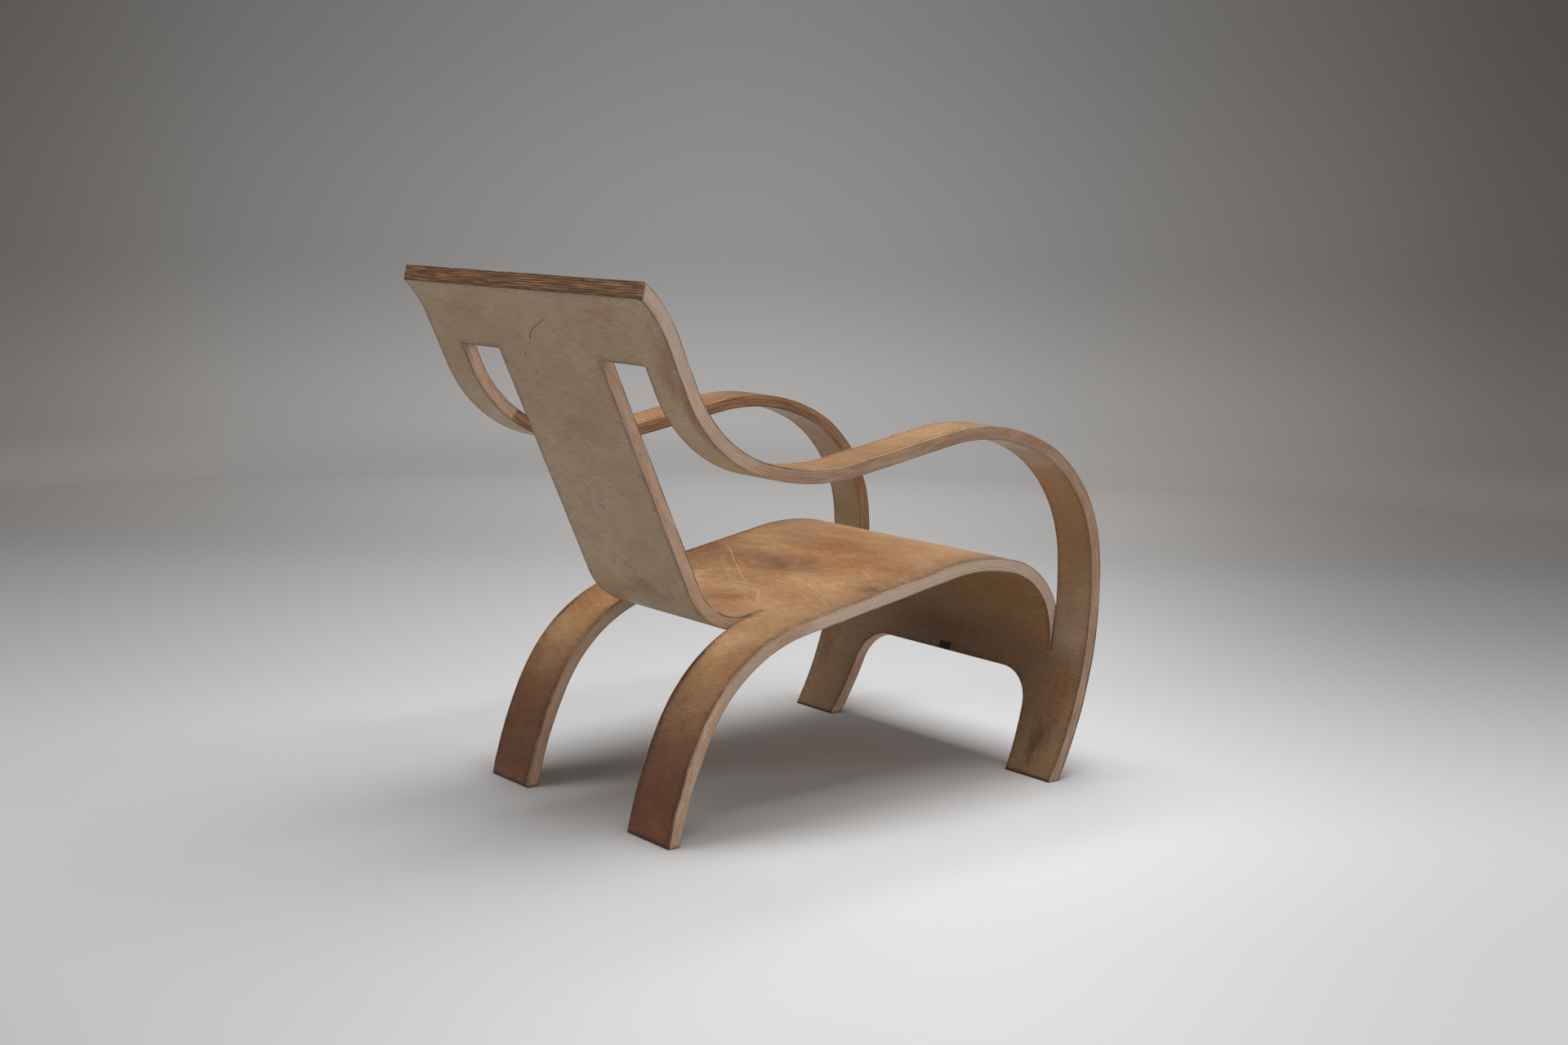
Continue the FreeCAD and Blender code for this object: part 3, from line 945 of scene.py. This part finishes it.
def face_finish(name, look, areas, stains_and_shading, lines):
    material, tree, shader = new_material(name)
    place = surface(tree, "flat_place", "Vector")
    rim = surface(tree, "rim")
    seed = look["seed"]
    patch = use(figure, place, Size=30 * MM, Seed=seed + 4.0)
    colour, fibre = wood_colour(place, patch, look)
    fleck = use(flecks, place, Length=7 * MM, Width=0.7 * MM, Cover=look["cover"], Seed=seed)
    fleck = fleck * look["fleckiness"]
    colour = blend(fleck, colour, look["fleck"])
    curl = use(flecks, place, Length=14 * MM, Width=1.3 * MM, Cover=0.5, Seed=seed + 9.0)
    colour = blend(curl * use_area(place, 1200, 1380, 90) * look["curl"], colour, look["fleck"])
    colour, cut = marked(colour, place, areas, stains_and_shading, lines)

    long_place = place / (2.4, 1.0, 1.0)
    nick = use(specks, long_place, Spacing=9 * MM, Size=0.75 * MM, Share=0.07)
    dent = use(specks, long_place, Spacing=8 * MM, Size=1.1 * MM, Share=0.75) * use_area(place, 6, 13, 1)
    nick = calc("MAXIMUM", nick * 0.6, dent * 0.55)
    colour = blend(nick, colour, look["dark"])
    speck = use(specks, place, Spacing=30 * MM, Size=1.1 * MM, Share=0.16)
    colour = blend(speck * 0.45, colour, look["bare"])

    dirt = use(arris_wear, place, Rim=rim, Width=DIRT_WIDTH, Seed=seed + 1.0)
    colour = tinted(colour, dirt * 0.5, look["dirt"])
    worn = use(arris_wear, place, Rim=rim, Width=1.1 * MM, Seed=seed + 2.0)
    rubbed = ramp(noise(place / (60 * MM), 2.0, 0.6), look["rubbed"] - 0.08, look["rubbed"] + 0.08)
    rubbed = calc("MAXIMUM", rubbed, arm_area(place) * look["arm_arris"])
    border = ramp(rim, 3.2 * MM, 1.2 * MM) * ramp(patch, 0.2, 0.8, 0.6, 0.25) * (1.0 - rubbed)
    colour = blend(border, colour, look["dark"])
    colour = blend(worn * 0.7, colour, blend(rubbed, look["dark"], look["bare"]))
    # Painted contact shadow: the faces go almost black in the last few millimetres above the floor.
    above_floor = part(add(tree, "ShaderNodeTexCoord", output="Object"), 2)
    colour = blend(ramp(above_floor, 6 * MM, 1.5 * MM, 0.0, 0.9), colour, FLOOR_CONTACT_SHADOW)
    colour.to(shader["Base Color"])

    gloss = look["gloss"]
    (ramp(patch, 0.0, 1.0, gloss, gloss + 0.12) + worn * 0.2).to(shader["Roughness"])
    height = fibre * 0.5 - calc("MAXIMUM", fleck, cut) - nick * 2.0
    bump(height, 0.3, 0.05 * MM).to(shader["Normal"])
    return material


# %% [markdown]
# The seat face of the rear legs is made darker and redder towards the floor, and painted shade
# browns the seat in the crook where the back rises from it.
# A pale contour line of the figure crosses the rear of the seat, beside a darker oval.

# %% Finish of the seat face
seat_look = {
    "seed": 3.0, "tones": [(168, 126, 84), (191, 153, 110), (173, 124, 82)], "patchy": 0.45,
    "fibre": (210, 196, 183), "light": 0.54, "bare": (222, 184, 136), "fleck": (108, 72, 48),
    "cover": 0.5, "fleckiness": 0.36, "dirt": (180, 150, 130), "dark": (72, 50, 38), "gloss": 0.4,
    "rings": 0.34, "rubbed": 0.5, "arm_arris": 0.9, "curl": 0.0}
figure_line = [(199, 818), (141, 785), (52, 731), (2, 704), (-48, 689), (-80, 661), (-61, 633), (-10, 629)]
inner_line = [(x + 12, s - 14) for x, s in figure_line[1:]]
second_line = [(170, 905), (100, 840), (20, 800), (-60, 790), (-130, 745)]
seat_finish = face_finish(
    "seat_face_varnish", seat_look,
    areas=[(128, 230, 230, 440, 150, (197, 178, 176)), (128, 230, 230, 340, 120, (233, 211, 177)),
           (230, 310, 180, 1212, 60, (240, 240, 234))],
    stains_and_shading=[(27, 795, 105, 55, 0.4, (188, 176, 174), 0.9), (-60, 860, 150, 52, 1.2, (242, 216, 186), 0.8),
            (-200, 776, 24, 16, 0.9, (196, 182, 176), 0.8), (227, 522, 10, 40, 0.6, (132, 120, 114), 0.9),
            # (-30, 650) and (0, 600): painted shade in the crook where the back rises from the seat.
            (-30, 650, 60, 34, 0.8, (206, 184, 166), 0.6), (0, 600, 150, 90, 0.4, (226, 218, 212), 0.8),
            (190, 740, 110, 150, 0.5, (200, 190, 182), 1.0), (-130, 420, 14, 130, 0.6, (160, 132, 116), 0.8),
            # (-179, 730) here, and (-177, 545) and (161, 942) below, are painted sheen: lighter and bluer.
            (48, 705, 60, 34, 0.6, (224, 226, 232), 1.0), (-179, 730, 60, 60, 0.5, (272, 276, 280), 1.0),
            (-177, 545, 60, 44, 0.5, (268, 270, 282), 1.0), (161, 942, 80, 60, 0.5, (250, 256, 278), 1.0),
            (50, 860, 300, 190, 0.3, (238, 232, 228), 1.0), (-131, 500, 9, 46, 0.6, (110, 100, 98), 0.9),
            # (266, 800): painted shade on the far arm's top.
            (60, 900, 150, 40, 0.8, (206, 190, 176), 0.7), (266, 800, 60, 200, 0.3, (214, 204, 196), 1.0),
            # (-266, 770): painted shade that dims the near arm's crest.
            (-266, 770, 60, 110, 0.3, (236, 236, 243), 1.0)],
    lines=[(figure_line, 2.0, 1.0, (208, 168, 122), 0.3, 26),
           (inner_line, 2.2, 1.0, (202, 162, 116), 0.14, 26),
           (second_line, 2.2, 1.0, (196, 156, 110), 0.14, 30)])

# %% Finish of the under face
under_look = {
    "seed": 11.0, "tones": [(176, 151, 118), (184, 158, 125), (180, 147, 114)], "patchy": 0.24,
    "fibre": (220, 213, 204), "light": 0.14, "bare": (206, 184, 156), "fleck": (100, 80, 62),
    "cover": 0.42, "fleckiness": 0.36, "dirt": (206, 188, 168), "dark": (78, 56, 42), "gloss": 0.43,
    "rings": 0.0, "rubbed": 0.68, "arm_arris": 0.4, "curl": 0.4}
CRACK = (62, 44, 34)
DENT = (58, 42, 32)
PORE = (66, 48, 36)
SCUFF = (172, 164, 150)
crack = [(-22, 54), (-9, 61), (7, 67), (23, 76), (30, 86)]
scratches = [[(42, 317), (30, 320)], [(34, 323), (34, 328)], [(29, 339), (24, 343)], [(13, 336), (9, 340)],
             [(27, 348), (8, 349)], [(27, 352), (7, 352)], [(8, 424), (-9, 426)], [(17, 439), (3, 443)],
             [(19, 444), (8, 447)], [(11, 449), (-8, 451)]]
under_finish = face_finish(
    "under_face_varnish", under_look,
    # These tinted areas are painted shade: under the seat, on the rear of the front panel and front legs,
    # and under the front of the arms.
    areas=[(0, 230, 610, 1212, 60, (241, 212, 173)), (0, 310, 1212, 1500, 60, (222, 208, 196)),
           (230, 310, 850, 1120, 160, (240, 226, 206))],
    stains_and_shading=[(167, 45, 70, 30, 0.8, (238, 214, 204), 0.6), (-192, 30, 70, 24, 0.8, (242, 216, 206), 0.6),
            (-280, 108, 30, 62, 0.6, (226, 198, 168), 0.9), (-29, 215, 90, 40, 0.8, (240, 220, 206), 0.5),
            (-294, 186, 14, 62, 0.5, (216, 176, 138), 0.9), (-276, 1272, 36, 44, 0.6, (236, 204, 178), 0.8),
            (-262, 1335, 30, 40, 0.8, (222, 196, 180), 0.7), (280, 1290, 24, 60, 0.8, (214, 190, 170), 0.7),
            (-247, 1368, 16, 44, 0.9, (180, 170, 158), 0.8), (-20, 480, 70, 30, 0.7, (216, 190, 170), 0.7),
            # (0, 1205): painted shade where the seat turns down into the front panel. (0, 480): a painted
            # highlight on the lower rear of the back.
            (0, 1205, 190, 70, 0.4, (216, 214, 208), 1.0), (0, 480, 140, 90, 0.4, (268, 268, 270), 1.0),
            # (-288, 1290): painted sheen on the near front leg.
            (-288, 1290, 40, 110, 0.5, (275, 278, 284), 1.0)],
    lines=[(crack, 1.1, 1.5, CRACK, 0.9), ([(26, 81), (30, 86)], 2.0, 0.8, DENT, 0.9),
           ([(61, 111), (58, 113)], 2.1, 0.3, DENT, 0.9), ([(48, 138), (47, 141)], 1.9, 0.3, DENT, 0.85),
           ([(-6, 111), (-7, 112)], 1.3, 0.2, PORE, 0.8), ([(116, 126), (115, 128)], 1.4, 0.2, PORE, 0.8),
           ([(46, 303), (45, 306)], 1.5, 0.3, CRACK, 0.8), ([(-9, 450), (-10, 451)], 1.5, 0.3, CRACK, 0.8),
           ([(44, 446), (41, 450)], 1.4, 0.3, CRACK, 0.8),
           ([(-134, 29), (-165, 33)], 2.2, 0.9, (132, 92, 66), 0.5),
           ([(-196, 1118), (-222, 1124)], 4.5, 2.4, SCUFF, 0.3, 12),
           ([(-190, 1160), (-226, 1152)], 4.5, 2.8, SCUFF, 0.26, 12)]
    + [(scratch, 0.9, 0.3, (84, 64, 50), 0.6) for scratch in scratches])
print("face finishes", seat_finish.name, under_finish.name)

# %% [markdown]
# ## The cut edges
# On a cut edge the veneers show in turn as pale and dark stripes, because one is cut along its
# grain and the next across it. The glue has soaked into both sides of a dark veneer, so its dark
# core is thinner than the veneer itself. The edge beside the camera has lost its varnish and gone
# chalky, and the top edge is stained a golden brown by the hands that moved the chair.

# %% Edge finish
DARK_RIM = 2.1 * MM


def stripe_colour(place, fresh, core, seed, depth, bleached, speckle, streak):
    """Pale wood with the dark core of a long-grain veneer, its stains and its specks."""
    ply = depth / VENEER
    own = add(place.tree, "ShaderNodeTexWhiteNoise", {"noise_dimensions": "1D"}, W=calc("FLOOR", ply) + seed)
    patch = noise(place / (50 * MM, 50 * MM, 12 * MM), 2.0, 0.5)
    colour = blend(ramp(streak, 0.36, 0.66), (240, 210, 178), (210, 174, 141))
    colour = tinted(colour, ramp(patch, 0.38, 0.66, 0.0, 0.7) * (1.0 - fresh), (232, 206, 184))
    colour = blend(fresh * 0.6, colour, (252, 230, 206))
    crumbs = noise(place / (2.6 * MM, 2.6 * MM, 1.1 * MM), 2.0, 0.7)
    worn_core = ramp(streak, 0.72, 0.42, 0.6, 1.0) * (own * (0.3 * core) + 0.7 * core)
    worn_core = worn_core * ramp(crumbs, 0.62, 0.42, 0.6, 1.0) * (bleached * -0.45 + 1.0)
    core_mask = ramp(calc("PINGPONG", ply, 0.5), 0.06, 0.22)
    colour = blend(core_mask * worn_core, colour, (98, 64, 49))
    return blend(ramp(speckle, 0.52, 0.68, 0.0, 0.62) * (fresh * -0.7 + 1.0), colour, (124, 90, 76))


def rim_darkness(flat_place, depth):
    """Old varnish along both sides of the edge, less of it on the arms, more on the front legs."""
    on_front_leg = use_area(flat_place, 1000, 1600, 80, 299, 310)
    rim_kept = arm_area(flat_place) * -0.7 + 0.85
    rim_width = on_front_leg * (1.3 * DARK_RIM) + DARK_RIM
    rim_foot = SHEET - rim_width
    dark = calc("MAXIMUM", ramp(depth, rim_foot, rim_width * 0.4 + rim_foot, 0.0, rim_kept),
                ramp(depth, 1.1 * MM, 0.5 * MM, 0.0, 0.8))
    return dark * ramp(noise(flat_place / (30 * MM), 3.0, 0.6), 0.4, 0.7, 1.0, 0.45)


def edge_finish(name, core, seed):
    """core is how dark the middle of each of these veneers is, from 0 to 1."""
    material, tree, shader = new_material(name)
    flat_place = surface(tree, "flat_place", "Vector")
    depth, bleached, dirt_and_shade = (surface(tree, carried_name) for carried_name in ("depth", "bleach", "grime_and_shade"))
    place = flat_place + vector(0.0, 0.0, depth)
    streak = noise(place / (24 * MM, 24 * MM, 0.3 * MM), 3.0, 0.6)
    speckle = noise(place / (1.3 * MM, 1.3 * MM, 0.7 * MM), 2.0, 0.6)
    fresh = use_area(flat_place, 640, 1200, 30, 226, 229.5)
    colour = stripe_colour(place, fresh, core, seed, depth, bleached, speckle, streak)
    chalk = noise(place / (11 * MM), 2.0, 0.5) * 0.5 + noise(place / (1.9 * MM), 4.0, 0.75)
    colour = blend(ramp(chalk, 0.56, 0.86) * bleached * 0.68, colour, (212, 191, 180))
    colour = blend(rim_darkness(flat_place, depth), colour, (66, 48, 40))
    # Where the edge is dirty this tint darkens it: hand stain on the top edge, dirt on the near arm's edge,
    # painted shade on the far arm's inner edge, painted contact shadow by the floor.
    stripe = noise(place / (70 * MM, 70 * MM, 0.9 * MM), 2.0, 0.6)
    varnish = blend(ramp(stripe, 0.45, 0.62), (134, 116, 96), (236, 206, 164))
    tinted(colour, dirt_and_shade, varnish).to(shader["Base Color"])
    ramp(speckle, 0.3, 0.7, 0.5, 0.68).to(shader["Roughness"])
    bump(streak + speckle * 0.6, 0.35, 0.15 * MM).to(shader["Normal"])
    return material


cross_finish = edge_finish("edge_cross_grain", 0.0, 0.0)
long_finish = edge_finish("edge_long_grain", 1.0, 5.0)
print("edge finishes", cross_finish.name, long_finish.name)

# %% [markdown]
# ## Lay all thirteen veneers
# The bent sheet carries the node tree as a modifier. For each veneer its inputs are set, the result
# is turned into a plain mesh of its own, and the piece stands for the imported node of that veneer.

# %% Lay the veneers
SET_BACK = 0.06 * MM
holder = bpy.data.objects.new("bent_sheet", sheet_mesh)
bpy.context.scene.collection.objects.link(holder)
socket_key = {item.name: item.identifier for item in lay_veneer.interface.items_tree
              if item.in_out == "INPUT"}


def laid_veneer(name, number, face, edge):
    high = SHEET - (number - 1) * VENEER
    values = {"Depth Low": high - VENEER, "Depth High": high, "Sheet Thickness": SHEET,
              "Crowding": {1: 0.5, VENEER_COUNT: 2.0}.get(number, 1.0),
              "Set Back": SET_BACK if number % 2 == 0 else 0.0, "Face Finish": face, "Edge Finish": edge}
    modifier = holder.modifiers.new("lay_veneer", "NODES")
    modifier.node_group = lay_veneer
    for socket_name, value in values.items():
        modifier[socket_key[socket_name]] = value
    evaluated = holder.evaluated_get(bpy.context.evaluated_depsgraph_get())
    mesh = bpy.data.meshes.new_from_object(evaluated)
    mesh.name = name
    holder.modifiers.remove(modifier)
    piece = bpy.data.objects.new(name, mesh)
    bpy.context.scene.collection.objects.link(piece)
    return piece


nodes_by_number = {int(node.split("_")[1]): node for node in frame["nodes"] if node.startswith("veneer_")}
for number, node in sorted(nodes_by_number.items()):
    edge, slot = (long_finish, "long_grain") if number % 2 == 0 else (cross_finish, "cross_grain")
    face = {1: seat_finish, VENEER_COUNT: under_finish}.get(number, edge)
    slot = {1: "seat_face", VENEER_COUNT: "under_face"}.get(number, slot)
    piece = laid_veneer(node.replace("veneer_", "laid_"), number, face, edge)
    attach(piece, body)
    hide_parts(node)
    print(piece.name, len(piece.data.polygons), "faces")
bpy.data.objects.remove(holder)

# %% [markdown]
# ## The bare plate
# A thin metal plate is glued behind the arch's upper edge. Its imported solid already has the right
# shape, so it stays, and only its finish is made here: black enamel, worn bright at one end.

# %% Finish of the bare plate
plate = frame["nodes"]["bare_plate"]
plate_low, plate_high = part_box("bare_plate")
plate_finish, tree, shader = new_material("black_enamel")
place = add(tree, "ShaderNodeTexCoord", output="Object")
scratch = noise(place / (0.8 * MM, 3 * MM, 3 * MM), 3.0, 0.6)
bright = ramp(scratch * (1.5 * MM) + part(place, 0), plate_low.x + 4.0 * MM, plate_low.x + 2.6 * MM)
metal = calc("MAXIMUM", bright, ramp(scratch, 0.66, 0.74, 0.0, 0.6))
blend(metal, (30, 28, 27), (176, 170, 160)).to(shader["Base Color"])
metal.to(shader["Metallic"])
ramp(scratch, 0.3, 0.7, 0.3, 0.5).to(shader["Roughness"])
plate.data.materials.clear()
plate.data.materials.append(plate_finish)
print("plate", [round(v / MM, 1) for v in plate_high - plate_low], "mm")

# %% [markdown]
# ## Camera, floor and light
# The camera stands behind the chair on its left, a little above the back, and looks slightly down.
# One wide soft box hangs over the chair, so the shadow lies straight below it. The floor rises
# into a round wall far outside the chair, and the pale floor throws light up under the seat.

# %% Camera
CAMERA_PLACE = Vector((-2.330, 1.856, 0.860))
CAMERA_BEARING = math.radians(129.28)
CAMERA_DIP = math.radians(8.96)
CAMERA_ROLL = math.radians(1.19)
CAMERA_LENS = 45.98
view_line = Vector((math.sin(CAMERA_BEARING) * math.cos(CAMERA_DIP),
                    math.cos(CAMERA_BEARING) * math.cos(CAMERA_DIP), -math.sin(CAMERA_DIP)))
level = view_line.cross(Vector((0, 0, 1))).normalized()
upright = level.cross(view_line)
right_hand = level * math.cos(CAMERA_ROLL) + upright * math.sin(CAMERA_ROLL)
camera = bpy.data.objects.new("camera", bpy.data.cameras.new("camera"))
bpy.context.scene.collection.objects.link(camera)
turned = Matrix((right_hand, right_hand.cross(view_line), -view_line)).transposed().to_4x4()
camera.matrix_world = Matrix.Translation(CAMERA_PLACE) @ turned
camera.data.lens = CAMERA_LENS
camera.data.sensor_width = 36.0
camera.data.dof.use_dof = False
bpy.context.scene.camera = camera
print("camera looks along", [round(v, 4) for v in view_line])

# %% Floor and wall
FLOOR_RADIUS = 3.6
WALL_BEND = 1.6
WALL_TOP = 5.0
SIDES = 96


def ring_mesh(name, profile):
    """A smooth dish of rings, each given as (radius, height) from the middle outward."""
    points = [(r * math.cos(2 * math.pi * n / SIDES), r * math.sin(2 * math.pi * n / SIDES), z)
              for r, z in profile for n in range(SIDES)]
    quads = [(row * SIDES + n, row * SIDES + (n + 1) % SIDES, (row + 1) * SIDES + (n + 1) % SIDES,
              (row + 1) * SIDES + n) for row in range(len(profile) - 1) for n in range(SIDES)]
    mesh = bpy.data.meshes.new(name)
    mesh.from_pydata(points, [], quads, shade_flat=False)
    mesh.flip_normals()
    made = bpy.data.objects.new(name, mesh)
    bpy.context.scene.collection.objects.link(made)
    return made


floor = ring_mesh("studio_floor", [(0.001, 0.0)] + [(r, 0.0) for r in np.linspace(0.3, FLOOR_RADIUS, 12)])
rising = [(FLOOR_RADIUS + WALL_BEND * math.sin(turn), WALL_BEND * (1 - math.cos(turn)))
          for turn in np.linspace(0, math.pi / 2, 17)]
wall = ring_mesh("studio_wall", rising + [(FLOOR_RADIUS + WALL_BEND, WALL_TOP)])
wall.visible_diffuse = False
wall.visible_shadow = False

# %% [markdown]
# The photograph's backdrop is brightest in the middle and falls off to both sides and upward. That
# fall is painted on the floor and the wall: away is the distance from the camera along the floor,
# fan is the bearing to the left or right of the view, and height is the height on the wall.

# %% Paper of the floor and the wall
CAMERA_AWAY = 2.98
MIDDLE_SHIFT = 0.03
NEAREST = 2.0
paper, tree, shader = new_material("studio_paper")
place = add(tree, "ShaderNodeTexCoord", output="Object")
away = measure("DOT_PRODUCT", place, (view_line.x, view_line.y, 0.0)) + CAMERA_AWAY
across = measure("DOT_PRODUCT", place, (level.x, level.y, 0.0)) + MIDDLE_SHIFT
height = part(place, 2)
fan = across / calc("MAXIMUM", away, NEAREST)
from_middle = measure("LENGTH", place * (1.0, 1.0, 0.0))


def mixed(factor, first, second):
    return add(factor.tree, "ShaderNodeMix", {"data_type": "FLOAT"}, factor, None, first, second)


# The floor is also painted darker within about half a metre of the chair's middle: a painted shadow under
# the chair.
floor_shade = 1.0 - ramp(fan, 0.05, 0.36) * ramp(away, 2.6, 4.4, 0.0, 0.34)
for value, *limits in ((fan, -0.42, 0.05, 0.84, 1.06), (fan, 0.12, 0.42, 1.0, 0.85),
                       (away, 1.0, 6.6, 0.8, 0.5), (away, 4.8, 6.4, 1.0, 1.56),
                       (away, 2.2, 2.8, 0.93, 1.0), (from_middle, 0.1, 0.52, 0.83, 1.0)):
    floor_shade = floor_shade * ramp(value, *limits)
pool = ramp(fan, -0.46, 0.0, 0.62, 1.0)
for limits in ((-0.05, 0.42, 1.0, 0.46), (-0.40, -0.25, 0.86, 1.0), (0.27, 0.40, 1.0, 0.86)):
    pool = pool * ramp(fan, *limits)
pool = mixed(ramp(away, 1.5, -1.0), pool, 0.7)
wall_shade = pool * ramp(height, 0.15, 0.7, 0.86, 0.64)
for limits in ((0.7, 1.8, 1.0, 0.84), (0.0, 0.4, 1.06, 0.98)):
    wall_shade = wall_shade * ramp(height, *limits)
on_wall = ramp(height, 0.0, 0.1)
shade = mixed(on_wall, floor_shade, wall_shade)
warm = calc("MAXIMUM", on_wall, ramp(away, 4.5, 5.4))
cool = shade * (1.0 - warm * ramp(pool, 0.5, 1.0, 0.12, 0.03))
add(tree, "ShaderNodeCombineColor", None, shade, (shade + cool) * 0.5, cool).to(shader["Base Color"])
shader["Roughness"].default_value = 0.8
shader["Specular IOR Level"].default_value = 0.2
for stage_part in (floor, wall):
    stage_part.data.materials.append(paper)
print("floor radius", FLOOR_RADIUS, "m")

# %% Light


def area_light(name, place, aim, size, power):
    light = bpy.data.lights.new(name, "AREA")
    light.size = size
    light.energy = power
    made = bpy.data.objects.new(name, light)
    facing = (Vector(aim) - Vector(place)).to_track_quat("-Z", "Y").to_matrix().to_4x4()
    made.matrix_world = Matrix.Translation(place) @ facing
    bpy.context.scene.collection.objects.link(made)


area_light("soft_box", (-0.15, -0.35, 2.7), (-0.15, -0.35, 0.0), 2.0, 76.0)
area_light("side_fill", (-2.9, 0.5, 1.2), (0.0, 0.0, 0.4), 1.6, 14.0)
area_light("rear_fill", (0.9, 2.7, 1.5), (0.0, 0.2, 0.6), 1.4, 16.0)
area_light("wall_wash", (1.5, -1.2, 2.5), (4.2, -3.4, 0.7), 1.8, 23.0)
world = bpy.data.worlds.new("studio")
world.use_nodes = True
world.node_tree.nodes["Background"].inputs["Color"].default_value = srgb(90, 90, 91)
bpy.context.scene.world = world
bpy.context.scene.view_settings.view_transform = "Standard"
